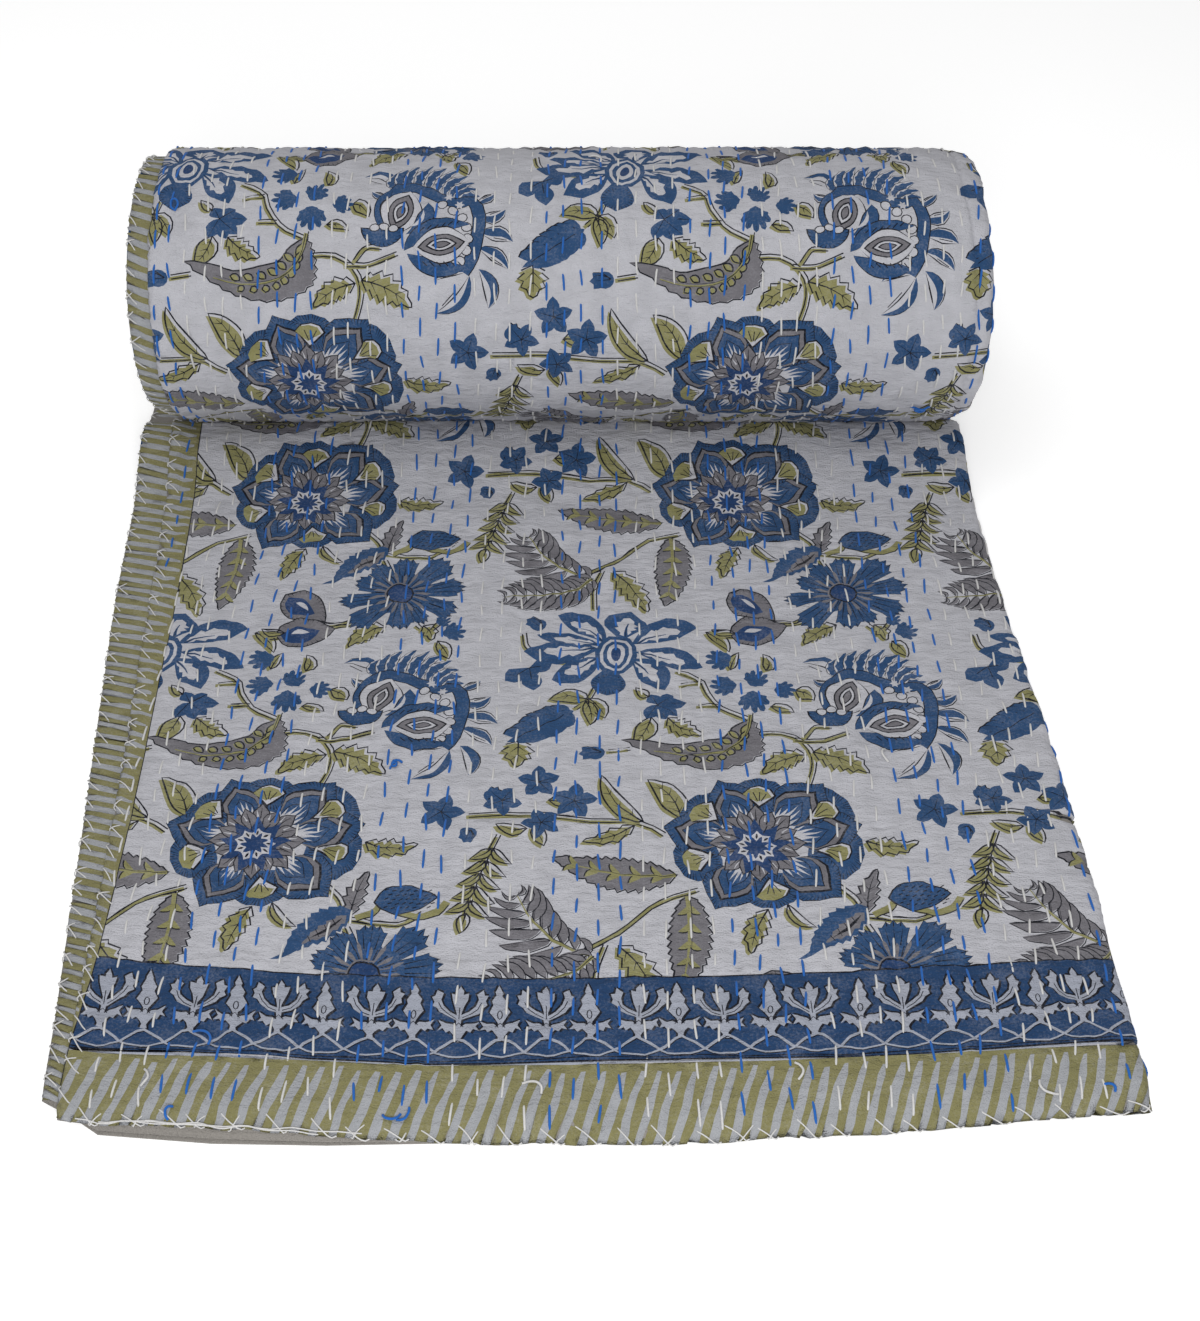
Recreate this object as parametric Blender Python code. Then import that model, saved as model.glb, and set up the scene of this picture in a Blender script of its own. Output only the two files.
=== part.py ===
"""Kantha quilt, folded lengthwise in four and rolled from its far end.

The quilt is one stitched cloth, so it is one closed solid. Its section across the
width is the cloth going back and forth in four layers. That section runs from the
loose front end along the floor, under the roll, up its back, over its top and then
inwards, turn by turn. Inside the roll the turns press together as one body, and at
its two ends they stand apart.

Metres, +Z up. The front end points to -Y, and the underside of the flap lies at Z = 0.
"""
import math

import bmesh
import bpy
import numpy as np

# cloth and fold
CLOTH_THICKNESS = 0.0024  # cover, filling and back, stitched together
LAYER_GAP = 0.0006  # air between two layers of the fold
TURN_GAP = 0.0007  # air between two turns of the roll
LAYERS = 4
PILE = LAYERS * CLOTH_THICKNESS + (LAYERS - 1) * LAYER_GAP
PITCH = PILE + TURN_GAP

# lengths, from the front end of the cloth
QUILT_LENGTH = 2.74
FLAP_LENGTH = 0.603  # front end to the line where the roll lifts off the floor
FLAP_STATIONS = 8
FLAP_SPACING = 1.25  # above 1, the sections lie closer together near the front end

# roll
ROLL_RADIUS = 0.104  # outer face at the start of the first turn
ROLL_SQUASH = 0.02  # wider than high by its own weight
STEPS_PER_TURN = 18
CORE_RADIUS = 0.0016  # the bunched first turn leaves only a thin hole
PRESSED_LEFT = -0.250  # the turns are one body from here
PRESSED_RIGHT = 0.258  # to here

# Where the long edges lie, in metres across the width, by distance along the cloth
# from the front end. Each row: distance, free edge of the top layer, free edge of the
# second layer, left fold of the lower two layers, outer right fold.
EDGE_COLUMNS = ("distance", "top_edge", "second_edge", "left_fold", "right_fold")
EDGE_ROWS = (
    (0.000, -0.2560, -0.2660, -0.2540, 0.3030),
    (0.050, -0.2565, -0.2680, -0.2550, 0.3025),
    (0.200, -0.2610, -0.2790, -0.2640, 0.2960),
    (0.400, -0.2710, -0.2950, -0.2780, 0.2820),
    (0.603, -0.2830, -0.3030, -0.2860, 0.2700),
    (0.740, -0.2760, -0.2920, -0.2760, 0.2700),
    (0.900, -0.2660, -0.2840, -0.2690, 0.2690),
    (1.020, -0.2640, -0.2850, -0.2700, 0.2750),
    (1.160, -0.2650, -0.2820, -0.2680, 0.2700),
    (1.400, -0.2630, -0.2790, -0.2640, 0.2740),
    (2.740, -0.2600, -0.2760, -0.2610, 0.2700),
)
TURN_WANDER = 0.0035  # the inner turns creep in and out at the ends of the roll
WANDER_LENGTH = 0.37
WANDER_FROM = 1.0
WANDER_FULL = 1.5

# front end, with places across the width
FRONT_BOW = 0.011  # the corners of the front end lie further back than its middle
FRONT_BOW_CENTRE = -0.05
FRONT_HALF_WIDTH = 0.29
RIGHT_SET_BACK = 0.004  # the right half draws back a little more
RIGHT_SET_BACK_FROM = 0.05
LAYER_SET_BACK = (0.0062, 0.001, 0.002, 0.0)  # top layer first, on the left half
SET_BACK_FROM = 0.07  # the lower layers start to show here
SET_BACK_FULL = -0.03
CORNER_ROUND = 0.018  # the front left corner is drawn back
CORNER_FROM = -0.225
CORNER_WIDTH = 0.04

# points across each layer, and the shoulder where the roll's right end begins to droop
ACROSS = (-0.13, 0.06)
SHOULDER = 0.234
SHOULDER_WIDTH = 0.040
SHOULDER_DROOP = 0.045  # share of the radius that the very end loses
DROOP_LIFT = 0.3  # turns from the floor until the droop is whole
QUARTER_FOLD_STEPS = 2  # segments in a quarter of the outer fold


def fold_arc(centre_x, centre_t, radius, start, end, steps):
    """Points of a fold's centreline, each with the direction of the cloth's face."""
    points = []
    for k in range(steps + 1):
        angle = math.radians(start + (end - start) * k / steps)
        across, up = math.cos(angle), math.sin(angle)
        points.append((centre_x + radius * across, centre_t + radius * up, across, up))
    return points


def folded_section(edges):
    """The cloth's face and back across the width: (x, t), t from the pile's underside."""
    half = CLOTH_THICKNESS / 2
    step = CLOTH_THICKNESS + LAYER_GAP
    level = [half + step * k for k in reversed(range(LAYERS))]  # top layer first
    right_centre = edges["right_fold"] - (level[0] - level[3]) / 2 - half
    left_centre = edges["left_fold"] + (level[2] - level[3]) / 2 + half
    mid_outer = (level[0] + level[3]) / 2
    mid_lower = (level[2] + level[3]) / 2
    outer_radius = (level[0] - level[3]) / 2
    small_radius = step / 2
    to_right = [*ACROSS, SHOULDER]
    to_left = to_right[::-1]
    line = [(edges["top_edge"], level[0], 0, 1)]
    line += [(x, level[0], 0, 1) for x in to_right]
    line += fold_arc(right_centre, mid_outer, outer_radius, 90, -90, 2 * QUARTER_FOLD_STEPS)
    line += [(x, level[3], 0, -1) for x in to_left]
    line += fold_arc(left_centre, mid_lower, small_radius, -90, -270, 2)
    line += [(x, level[2], 0, 1) for x in to_right]
    # the inner fold turns the other way round, inside the outer one
    inner = fold_arc(right_centre, mid_outer, small_radius, -90, 90, 2)
    line += [(x, t, -across, -up) for x, t, across, up in inner]
    line += [(x, level[1], 0, -1) for x in to_left]
    line += [(edges["second_edge"], level[1], 0, -1)]
    face = [(x + half * nx, t + half * nt) for x, t, nx, nt in line]
    back = [(x - half * nx, t - half * nt) for x, t, nx, nt in line]
    return face, back


def smooth_step(value):
    value = min(max(value, 0.0), 1.0)
    return value * value * (3 - 2 * value)


def edges_at(distance):
    table = np.array(EDGE_ROWS)
    edges = {
        name: float(np.interp(distance, table[:, 0], table[:, k]))
        for k, name in enumerate(EDGE_COLUMNS)
    }
    inward = smooth_step((distance - WANDER_FROM) / (WANDER_FULL - WANDER_FROM))
    for k, name in enumerate(EDGE_COLUMNS[1:]):
        phase = 2 * math.pi * distance / WANDER_LENGTH + 1.3 * k
        edges[name] += inward * TURN_WANDER * math.sin(phase)
    return edges


def front_set_back(x, t):
    """How far the front end of the cloth is drawn back at a point of the section."""
    level = LAYERS - 1 - min(int(t / (CLOTH_THICKNESS + LAYER_GAP)), LAYERS - 1)
    bow = FRONT_BOW * ((x - FRONT_BOW_CENTRE) / FRONT_HALF_WIDTH) ** 2
    right = RIGHT_SET_BACK * smooth_step((x - RIGHT_SET_BACK_FROM) / FRONT_HALF_WIDTH)
    shows = smooth_step((SET_BACK_FROM - x) / (SET_BACK_FROM - SET_BACK_FULL))
    corner = CORNER_ROUND * smooth_step((CORNER_FROM - x) / CORNER_WIDTH)
    return bow + right + corner + LAYER_SET_BACK[level] * shows


def roll_turns():
    """The number of turns that the rest of the quilt's length makes."""
    length, turns = QUILT_LENGTH - FLAP_LENGTH, 0.0
    step = 1 / STEPS_PER_TURN
    while length > 0 and ROLL_RADIUS - PITCH * turns > PILE + PITCH:
        length -= 2 * math.pi * step * (ROLL_RADIUS - PITCH * turns - PILE / 2)
        turns += step
    return turns


def flap_ring(k):
    """Section number k of the flap, from the front end to the roll."""
    share = k / FLAP_STATIONS
    distance = FLAP_LENGTH * share ** FLAP_SPACING
    fade = (1 - share) ** 3  # the uneven front end evens out within the flap
    ring = []
    for x, t in sum(folded_section(edges_at(distance)), []):
        y = distance - FLAP_LENGTH + fade * front_set_back(x, t)
        ring.append((x, y, t))
    return ring


def edges_on_roll(turns):
    """Where the long edges lie after this many turns."""
    run = 2 * math.pi * turns * (ROLL_RADIUS - PILE / 2 - PITCH * turns / 2)
    return edges_at(FLAP_LENGTH + run)


def on_roll(x, depth, turns):
    """The place of a point that lies depth inside the outer face, after so many turns."""
    angle = 2 * math.pi * turns
    past_shoulder = max(0.0, x - SHOULDER) / SHOULDER_WIDTH
    droop = smooth_step(turns / DROOP_LIFT) * SHOULDER_DROOP * past_shoulder**2
    radius = (ROLL_RADIUS - PITCH * turns - depth) * (1 - droop)
    y = (1 + ROLL_SQUASH) * radius * math.sin(angle)
    z = (1 - ROLL_SQUASH) * (ROLL_RADIUS - radius * math.cos(angle))
    return x, y, z


def roll_ring(k, last):
    """Section number k of the roll, from the floor round to the core."""
    turns = k / STEPS_PER_TURN
    # the first turn that is rolled up bunches and fills the core
    in_core = k > last - STEPS_PER_TURN
    outer = ROLL_RADIUS - PITCH * turns
    fill = (outer - CORE_RADIUS) / PILE if in_core else 1.0
    section = sum(folded_section(edges_on_roll(turns)), [])
    return [on_roll(x, t * fill, turns) for x, t in section]


def pressed_turns():
    """The body that the turns are pressed into, just under the outermost layer."""
    under = CLOTH_THICKNESS / 2
    bm = bmesh.new()
    rows = []
    for x in (PRESSED_LEFT, SHOULDER, PRESSED_RIGHT):
        turns = [k / STEPS_PER_TURN for k in range(STEPS_PER_TURN + 1)]
        rows.append([bm.verts.new(on_roll(x, under, turn)) for turn in turns])
    for before, after in zip(rows, rows[1:]):
        for i in range(len(before)):
            j = (i + 1) % len(before)
            bm.faces.new((before[i], before[j], after[j], after[i]))
    for row in (rows[0], rows[-1]):
        middle = bm.verts.new((row[0].co.x, 0.0, (1 - ROLL_SQUASH) * ROLL_RADIUS))
        for before, after in zip(row, row[1:] + row[:1]):
            bm.faces.new((before, after, middle))
    bmesh.ops.recalc_face_normals(bm, faces=bm.faces)
    return bm


def sweep(rings):
    """One closed mesh through rings of equal length, each a face side and a back side."""
    count = len(rings[0])
    side = count // 2
    # round the cloth: out along its face, and home along its back
    order = list(range(side)) + list(range(count - 1, side - 1, -1))
    bm = bmesh.new()
    rows = [[bm.verts.new(ring[i]) for i in order] for ring in rings]
    for before, after in zip(rows, rows[1:]):
        for i in range(count):
            j = (i + 1) % count
            bm.faces.new((before[i], before[j], after[j], after[i]))
    for row in (rows[0], rows[-1]):
        for i in range(side - 1):
            bm.faces.new((row[i], row[i + 1], row[count - 2 - i], row[count - 1 - i]))
    bmesh.ops.recalc_face_normals(bm, faces=bm.faces)
    return bm


def to_floor_centre(bm):
    """The move that centres the mesh's box over the origin, standing on Z = 0."""
    points = np.array([tuple(v.co) for v in bm.verts])
    low, high = points.min(0), points.max(0)
    middle = (low + high) / 2
    return -middle[0], -middle[1], -low[2]


def add_object(name, bm, move):
    bmesh.ops.translate(bm, verts=bm.verts, vec=move)
    mesh = bpy.data.meshes.new(name)
    bm.to_mesh(mesh)
    bm.free()
    item = bpy.data.objects.new(name, mesh)
    bpy.context.scene.collection.objects.link(item)
    return item


def quilted_cotton():
    material = bpy.data.materials.new("quilted_cotton")
    material.use_nodes = True
    shader = material.node_tree.nodes["Principled BSDF"]
    shader.inputs["Base Color"].default_value = (0.36, 0.39, 0.44, 1)
    shader.inputs["Roughness"].default_value = 0.9
    shader.inputs["Metallic"].default_value = 0.0
    return material


def main():
    for item in list(bpy.data.objects):
        bpy.data.objects.remove(item, do_unlink=True)
    last = round(roll_turns() * STEPS_PER_TURN)
    rings = [flap_ring(k) for k in range(FLAP_STATIONS)]
    rings += [roll_ring(k, last) for k in range(last + 1)]
    bm = sweep(rings)
    move = to_floor_centre(bm)
    quilt = add_object("quilt", bm, move)
    quilt.data.materials.append(quilted_cotton())
    pressed = add_object("pressed_turns", pressed_turns(), move)
    pressed.hide_render = True
    pressed.display_type = "WIRE"
    union = quilt.modifiers.new("pressed_together", "BOOLEAN")
    union.operation = "UNION"
    union.solver = "EXACT"
    union.use_self = True
    union.object = pressed


main()
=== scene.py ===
# A block-printed kantha quilt, folded in four and rolled from its far end.
import math

import bmesh
import bpy
import numpy as np
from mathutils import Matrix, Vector
from mathutils.geometry import delaunay_2d_cdt


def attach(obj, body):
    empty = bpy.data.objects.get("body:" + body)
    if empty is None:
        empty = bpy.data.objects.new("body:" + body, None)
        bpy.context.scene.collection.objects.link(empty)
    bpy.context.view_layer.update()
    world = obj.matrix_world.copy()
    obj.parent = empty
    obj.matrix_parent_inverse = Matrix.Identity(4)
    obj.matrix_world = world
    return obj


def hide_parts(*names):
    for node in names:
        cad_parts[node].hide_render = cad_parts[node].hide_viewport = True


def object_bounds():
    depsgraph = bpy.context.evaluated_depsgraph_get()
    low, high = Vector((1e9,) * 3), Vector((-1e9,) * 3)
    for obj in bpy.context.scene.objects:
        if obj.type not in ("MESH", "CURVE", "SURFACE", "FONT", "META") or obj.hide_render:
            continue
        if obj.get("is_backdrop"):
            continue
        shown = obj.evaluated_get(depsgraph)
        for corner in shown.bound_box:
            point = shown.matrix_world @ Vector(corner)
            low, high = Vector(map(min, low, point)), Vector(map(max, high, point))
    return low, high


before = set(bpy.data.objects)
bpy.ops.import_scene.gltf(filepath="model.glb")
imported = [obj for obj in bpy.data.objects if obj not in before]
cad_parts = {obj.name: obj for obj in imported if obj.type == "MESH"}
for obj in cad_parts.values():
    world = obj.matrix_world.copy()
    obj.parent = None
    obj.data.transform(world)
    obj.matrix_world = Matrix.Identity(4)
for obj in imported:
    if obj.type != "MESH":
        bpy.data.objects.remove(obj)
cadLow, cadHigh = (np.array(corner, float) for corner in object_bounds())
mm = 0.001

# The cloth lies in a pile of four layers. A place on the pile is x across it, s along
# it from the loose front end, and t up from its underside, all in metres.
fold = {
    "cloth": 0.0024, "layerGap": 0.0006, "turnGap": 0.0007, "flap": 0.603, "length": 2.74,
    "radius": 0.104, "squash": 0.02, "core": 0.0016, "axisToBack": 0.1018,
    "shoulder": 0.234, "shoulderWidth": 0.040, "droop": 0.045, "droopLift": 0.3,  # right end of the roll
    "wander": 0.0035, "wanderLength": 0.37, "wanderFrom": 1.0,  # of the inner turns
    "sag": 0.09, "sagAngle": 5.46, "sagWidth": 0.42,  # the roll's lower front is drawn in
    "ruck": 0.0145, "ruckFoot": 0.485, "ruckEnd": 0.556,  # low fold of the flap before the roll
    "bow": 0.011, "rightBack": 0.004, "corner": 0.018,  # of the front end
    "layerBack": (0.0056, 0.001, 0.002, 0.0),  # top layer first
    "squeezeLeft": 0.50, "squeezeRight": 0.39,  # whip stitch presses the front end
}
fold["pile"] = 4 * fold["cloth"] + 3 * fold["layerGap"]
fold["pitch"] = fold["pile"] + fold["turnGap"]
fold["axisY"] = cadHigh[1] - fold["axisToBack"]
foldRadius = fold["pile"] / 2
hem = fold["cloth"] / 2
levels = [hem + (fold["cloth"] + fold["layerGap"]) * k for k in (3, 2, 1, 0)]  # middle of each layer

# where the long edges lie across the width, by distance along the cloth
edgeNames = ("s", "topEdge", "secondEdge", "leftFold", "rightFold")
edgeRows = np.array((
    (-0.030, -0.2560, -0.2660, -0.2540, 0.3030),
    (0.000, -0.2560, -0.2660, -0.2540, 0.3030),
    (0.050, -0.2565, -0.2680, -0.2550, 0.3025),
    (0.200, -0.2610, -0.2790, -0.2640, 0.2960),
    (0.400, -0.2710, -0.2950, -0.2780, 0.2820),
    (0.603, -0.2830, -0.3030, -0.2860, 0.2700),
    (0.740, -0.2760, -0.2920, -0.2760, 0.2700),
    (0.900, -0.2660, -0.2840, -0.2690, 0.2690),
    (1.020, -0.2640, -0.2850, -0.2700, 0.2750),
    (1.160, -0.2650, -0.2820, -0.2680, 0.2700),
    (1.400, -0.2630, -0.2790, -0.2640, 0.2740),
    (2.740, -0.2600, -0.2760, -0.2610, 0.2700),
))


def smoothStep(value):
    value = np.clip(value, 0.0, 1.0)
    return value * value * (3 - 2 * value)


def edgeTable():
    # the table's corners rounded off, with the creep of the inner turns added
    s = np.arange(-0.03, fold["length"] + 0.2, 0.005)
    kernel = np.hanning(17)
    inward = smoothStep((s - fold["wanderFrom"]) / 0.5) * fold["wander"]
    rows = {"s": s}
    for k, name in enumerate(edgeNames[1:]):
        value = np.interp(s, edgeRows[:, 0], edgeRows[:, k + 1])
        value = np.convolve(np.pad(value, 8, mode="edge"), kernel / kernel.sum(), mode="valid")
        rows[name] = value + inward * np.sin(2 * math.pi * s / fold["wanderLength"] + 1.3 * k)
    return rows


edges = edgeTable()


def edgeAt(name, s):
    return np.interp(s, edges["s"], edges[name])


def frontSetBack(x, level):
    # how far the front end is drawn back; the top layer is level 0
    bow = fold["bow"] * ((x + 0.05) / 0.29) ** 2 + fold["rightBack"] * smoothStep((x - 0.05) / 0.29)
    corner = fold["corner"] * smoothStep((-0.225 - 0.022 * (level == 0) - x) / 0.04)
    return bow + corner + np.array(fold["layerBack"])[level] * smoothStep((-0.05 - x) / 0.14)


def turnsAt(s):
    # turns round the roll after s metres of the pile's underside
    run = np.clip(s - fold["flap"], 0, None)
    inside = fold["radius"] ** 2 - fold["pitch"] * run / math.pi
    return (fold["radius"] - np.sqrt(np.clip(inside, 1e-8, None))) / fold["pitch"]


# distance along the cloth where the first turn is done, under the front of the roll
rollTop = fold["flap"] + fold["radius"] * 2 * math.pi - fold["pitch"] * math.pi


def place(x, s, t, level=0):
    # x, s, t on the pile, and the number of the layer from the top, to points in the room
    x, s, t, level = np.broadcast_arrays(x, s, t, level)
    fade = (1 - np.clip(s / fold["flap"], 0, 1) ** 0.8) ** 3
    flatY = s - fold["flap"] + fade * frontSetBack(x, level)
    squeeze = fold["squeezeLeft"] + fold["squeezeRight"] * smoothStep((x + 0.17) / 0.25)
    t = t * (1 - squeeze * np.exp(-np.clip(s, 0, None) / (0.010 + 0.004 * (x > 0))))
    turns = turnsAt(s)
    angle = 2 * math.pi * turns
    past = np.clip((x - fold["shoulder"]) / fold["shoulderWidth"], 0, None)
    droop = smoothStep(turns / fold["droopLift"]) * fold["droop"] * past**2
    dent = np.exp(-(((angle % (2 * math.pi)) - fold["sagAngle"]) / fold["sagWidth"]) ** 2)
    droop = droop + fold["sag"] * dent * smoothStep((turns - 0.5) / 0.15)
    radius = (fold["radius"] - fold["pitch"] * turns - t) * (1 - droop)
    rollY = (1 + fold["squash"]) * radius * np.sin(angle)
    rollZ = (1 - fold["squash"]) * (fold["radius"] - radius * np.cos(angle))
    ruck = smoothStep((s - fold["ruckFoot"]) / 0.065) * (1 - smoothStep((s - fold["ruckEnd"]) / 0.03))
    onRoll = s > fold["flap"]
    y = np.where(onRoll, rollY, flatY) + fold["axisY"]
    z = np.where(onRoll, rollZ, t + fold["ruck"] * ruck)
    return np.stack((x, y, z), 1)


lattices = {}


def softNoise(x, y, size, seed):
    # smooth values from -1 to 1 on a lattice of the given size, in metres
    if seed not in lattices:
        lattices[seed] = np.random.RandomState(seed).uniform(-1, 1, (257, 257))
    table = lattices[seed]
    u, v = np.asarray(x) / size + 91.3, np.asarray(y) / size + 47.7
    i, j = np.floor(u).astype(int), np.floor(v).astype(int)
    a, b = smoothStep(u - i), smoothStep(v - j)
    i, j = i % 256, j % 256
    low = table[i, j] * (1 - a) + table[i + 1, j] * a
    high = table[i, j + 1] * (1 - a) + table[i + 1, j + 1] * a
    return low * (1 - b) + high * b


stitching = {
    "flapRows": (-0.0056, 0.0124), "rollRows": (-0.0143, 0.01156),  # first row and pitch
    "group": 4, "length": 0.0130, "gap": 0.0105, "thread": 0.0015, "whipThread": 0.0008,
    "drift": 0.0012, "tilt": 0.0008,  # of a stitch, off its row
    "rise": (-0.55, 0.1, 0.25, 0.25, 0.1, -0.55),  # of a stitch over the cloth, in threads
    "pillow": 0.0015, "dimple": 0.00028, "beat": 0.0246, "crumple": 0.0008,  # relief of the cloth
    "flapSwell": 0.0009, "rollSwell": 0.0004, "lowest": -0.0016,
}


def puckers(x, v, onRoll):
    # height of the stitched cloth over its pile: pillows between the rows of stitch
    start, pitch = stitching["rollRows" if onRoll else "flapRows"]
    phase = (x - start) / pitch + 0.10 * softNoise(x, v, 0.05, 3)
    row = np.round(phase)
    between = np.abs(phase - row) * 2
    pillow = smoothStep(between) * (0.75 + 0.35 * softNoise(x, v, 0.016, 4))
    beat = np.sin(2 * math.pi * v / stitching["beat"] + 2.4 * row) * (1 - between)
    height = stitching["pillow"] * (pillow - 0.5) + stitching["dimple"] * beat
    height += stitching["crumple"] * softNoise(x * 0.6, v, 0.011, 5)
    swell = stitching["rollSwell" if onRoll else "flapSwell"]
    height += swell * (softNoise(x, v, 0.045, 6) + softNoise(x, v, 0.12, 7))
    return np.maximum(height, stitching["lowest"])


def hexColour(code, alpha=1.0):
    # sRGB hex to linear
    parts = [int(code[k:k + 2], 16) / 255 for k in (1, 3, 5)]
    return (*(c / 12.92 if c <= 0.04045 else ((c + 0.055) / 1.055) ** 2.4 for c in parts), alpha)


# pigments of the blocks, and with alpha 0 the bare cloth in its various light: the darker bare tones of the
# inside, the hems and the band are painted shade
inks = {
    # inside: the bare cloth of the folded layers, darkened as painted shade
    "cloth": hexColour("#B2B2B8", 0.0), "inside": hexColour("#88847F", 0.0), "blue": hexColour("#2B496F"),
    "olive": hexColour("#868358"), "grey": hexColour("#6E6C71"), "line": hexColour("#15171F"),
    # the hem white: bare cloth darkened as painted shade of the front end and margins
    "white": hexColour("#B6B6BC", 0.0), "hemWhite": hexColour("#989A9E", 0.0),
    # the band white: bluish bare cloth, darkened as painted shade of the front end
    "bandWhite": hexColour("#989CA8", 0.0), "deep": hexColour("#213B64"),
    "hem": hexColour("#7D7953"), "bandBlue": hexColour("#233E62"),
}
inkNames = list(inks)
slip = {"olive": (-1.8, -1.7), "grey": (-0.6, 0.5)}  # blocks that were set down a little off
lineWidth = 1.15
drawing = []  # outlines in millimetres, each with its ink; the later lie over the earlier


def put(ink, outline):
    drawing.append((ink, np.asarray(outline, float)))


def finishedDrawing():
    done = list(drawing)
    drawing.clear()
    return done


def leftOf(run):
    # unit normals on the left of each direction
    return np.stack((-run[:, 1], run[:, 0]), 1) / (np.hypot(run[:, 0], run[:, 1])[:, None] + 1e-9)


def spine(x0, y0, x1, y1, bend, u):
    # points of a bowed line at the shares u of its run, with the normals on its left
    along = np.array((x1 - x0, y1 - y0), float)
    side = np.array((-along[1], along[0])) / max(np.hypot(*along), 1e-6)
    line = np.array((x0, y0)) + along * u[:, None] + side * (4 * bend * u * (1 - u))[:, None]
    return line, leftOf(along + side * (4 * bend * (1 - 2 * u))[:, None])


def blade(x0, y0, x1, y1, bend=0, half=5, belly=0.5, teeth=0, blunt=0.8):
    # a leaf or petal round a bowed line; teeth notch its two sides
    count = 2 * teeth or int(np.clip(math.hypot(x1 - x0, y1 - y0) / 3.2, 5, 14))
    u = np.linspace(0, 1, count + 1)
    odd = np.arange(count + 1) % 2 == 1
    if teeth:
        u = np.where(odd, u + 0.22 / teeth, u)
    line, normal = spine(x0, y0, x1, y1, bend, u)
    width = half * np.sin(math.pi * u ** (math.log(0.5) / math.log(belly))) ** blunt
    if teeth:
        deep = 0.30 if teeth < 8 else 0.14
        width = width * np.where(odd, 1 + deep * 0.4, 1 - deep)
    left, right = line + normal * width[:, None], line - normal * width[:, None]
    return np.concatenate((left, right[-2:0:-1]))


def stroke(line, width, taper=False):
    # a drawn line of the given width along open points
    line = np.asarray(line, float)
    side = leftOf(np.gradient(line, axis=0)) * width / 2
    if taper:
        side *= np.linspace(1, 0.25, len(line))[:, None]
    return np.concatenate((line + side, (line - side)[::-1]))


def ring(loop, width):
    # a drawn line round a closed outline, as one outline with a seam
    side = leftOf(np.roll(loop, -1, 0) - np.roll(loop, 1, 0)) * width / 2
    outer, inner = loop + side, loop - side
    return np.concatenate((outer, outer[:1], inner[:1], inner[::-1]))


def turned(points, turn, x, y):
    # points turned by some degrees, then moved to x, y
    c, s = math.cos(math.radians(turn)), math.sin(math.radians(turn))
    u, v = np.asarray(points, float).T[:2]
    return np.stack((x + u * c - v * s, y + u * s + v * c), 1)


def polar(angle, reach, x=0, y=0):
    a = math.radians(angle)
    return np.array((x + reach * math.cos(a), y + reach * math.sin(a)))


def oval(x, y, rx, ry, turn=0, count=12):
    a = np.linspace(0, 2 * math.pi, count, endpoint=False)
    return turned(np.stack((rx * np.cos(a), ry * np.sin(a)), 1), turn, x, y)


def burst(x, y, outer, inner, points, turn=0):
    # a spiky star
    return np.array([polar(turn + 180 / points * k, (outer, inner)[k % 2], x, y) for k in range(2 * points)])


def curve(points, count=10):
    # a smooth line through a few given points
    points = np.asarray(points, float)
    padded = np.vstack((2 * points[0] - points[1], points, 2 * points[-1] - points[-2]))
    out = []
    for f in np.linspace(0, len(points) - 1, count + 1):
        i = min(int(f), len(points) - 2)
        k = f - i
        p0, p1, p2, p3 = padded[i:i + 4]
        out.append(0.5 * (2 * p1 + (p2 - p0) * k + (2 * p0 - 5 * p1 + 4 * p2 - p3) * k**2
                          + (3 * p1 - p0 - 3 * p2 + p3) * k**3))
    return np.array(out)


def scaled(loop, share):
    # about its own middle
    return loop.mean(0) + (loop - loop.mean(0)) * share


def pen(points, width, taper=False, ink="line"):
    put(ink, stroke(points, width, taper))


def outlined(loop, share, ink="blue"):
    # a shape over a slightly larger dark one, which leaves a drawn rim
    put("line", scaled(loop, share))
    put(ink, loop)


def comb(loop, depth, pitch):
    # short dark ticks that hatch the rim of a lobe
    centre = loop.mean(0)
    for corner, step in zip(loop, np.roll(loop, -1, 0) - loop):
        size = math.hypot(*step)
        for k in range(int(size / pitch)):
            root = corner + step * (k + 0.5) * pitch / size
            inward = (centre - root) / max(math.hypot(*(centre - root)), 1e-6)
            along = step / size * 0.32
            put("line", (root - along, root + along, root + inward * depth))


def leaf(ink, x0, y0, x1, y1, bend=0, half=6, teeth=0, veins=3):
    # a leaf with drawn veins; the broad grey ones have an olive rib with barbs instead
    shape = blade(x0, y0, x1, y1, bend, half, 0.42, teeth)
    put(ink, shape + slip[ink])
    put("line", ring(shape, lineWidth * 0.9))
    rib = spine(x0, y0, x1, y1, bend, np.linspace(0, 1, 7))[0][:-1]
    ahead = np.array((x1 - x0, y1 - y0)) / math.hypot(x1 - x0, y1 - y0)
    barbed = ink == "grey" and half > 8
    if not barbed:
        pen(rib, lineWidth, True)
    for k in range(5 if barbed else veins):
        share = 0.12 + 0.17 * k if barbed else (k + 0.7) / (veins + 1.2)
        root, side = (row[0] for row in spine(x0, y0, x1, y1, bend, np.array([share])))
        for way in (1, -1):
            if barbed:
                tip = root + ahead * half * 0.45 + side * way * half * 0.55
                barb = blade(*(root - ahead * 1.5), *tip, -1.2 * way, 1.7, 0.4)
                put("line", barb + ahead * 0.9)
                put("olive", barb)
            else:
                tip = root + (ahead * 0.62 + side * way * 0.60) * half * 0.9
                pen((root, (root + tip) / 2, tip), 0.65, True)
    if barbed:
        put("olive", stroke(rib, 2.6, True) + (slip["olive"][0] * 0.3, 0))
        pen(rib + (1.0, 0.4), 0.5, True)


def stem(points):
    path = curve(points)
    pen(path + np.array(slip["olive"]) * 0.8, 2.6, ink="olive")
    side = leftOf(np.gradient(path, axis=0)) * 1.3
    for way in (1, -1):
        pen(path + side * way, lineWidth * 0.75)


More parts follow.
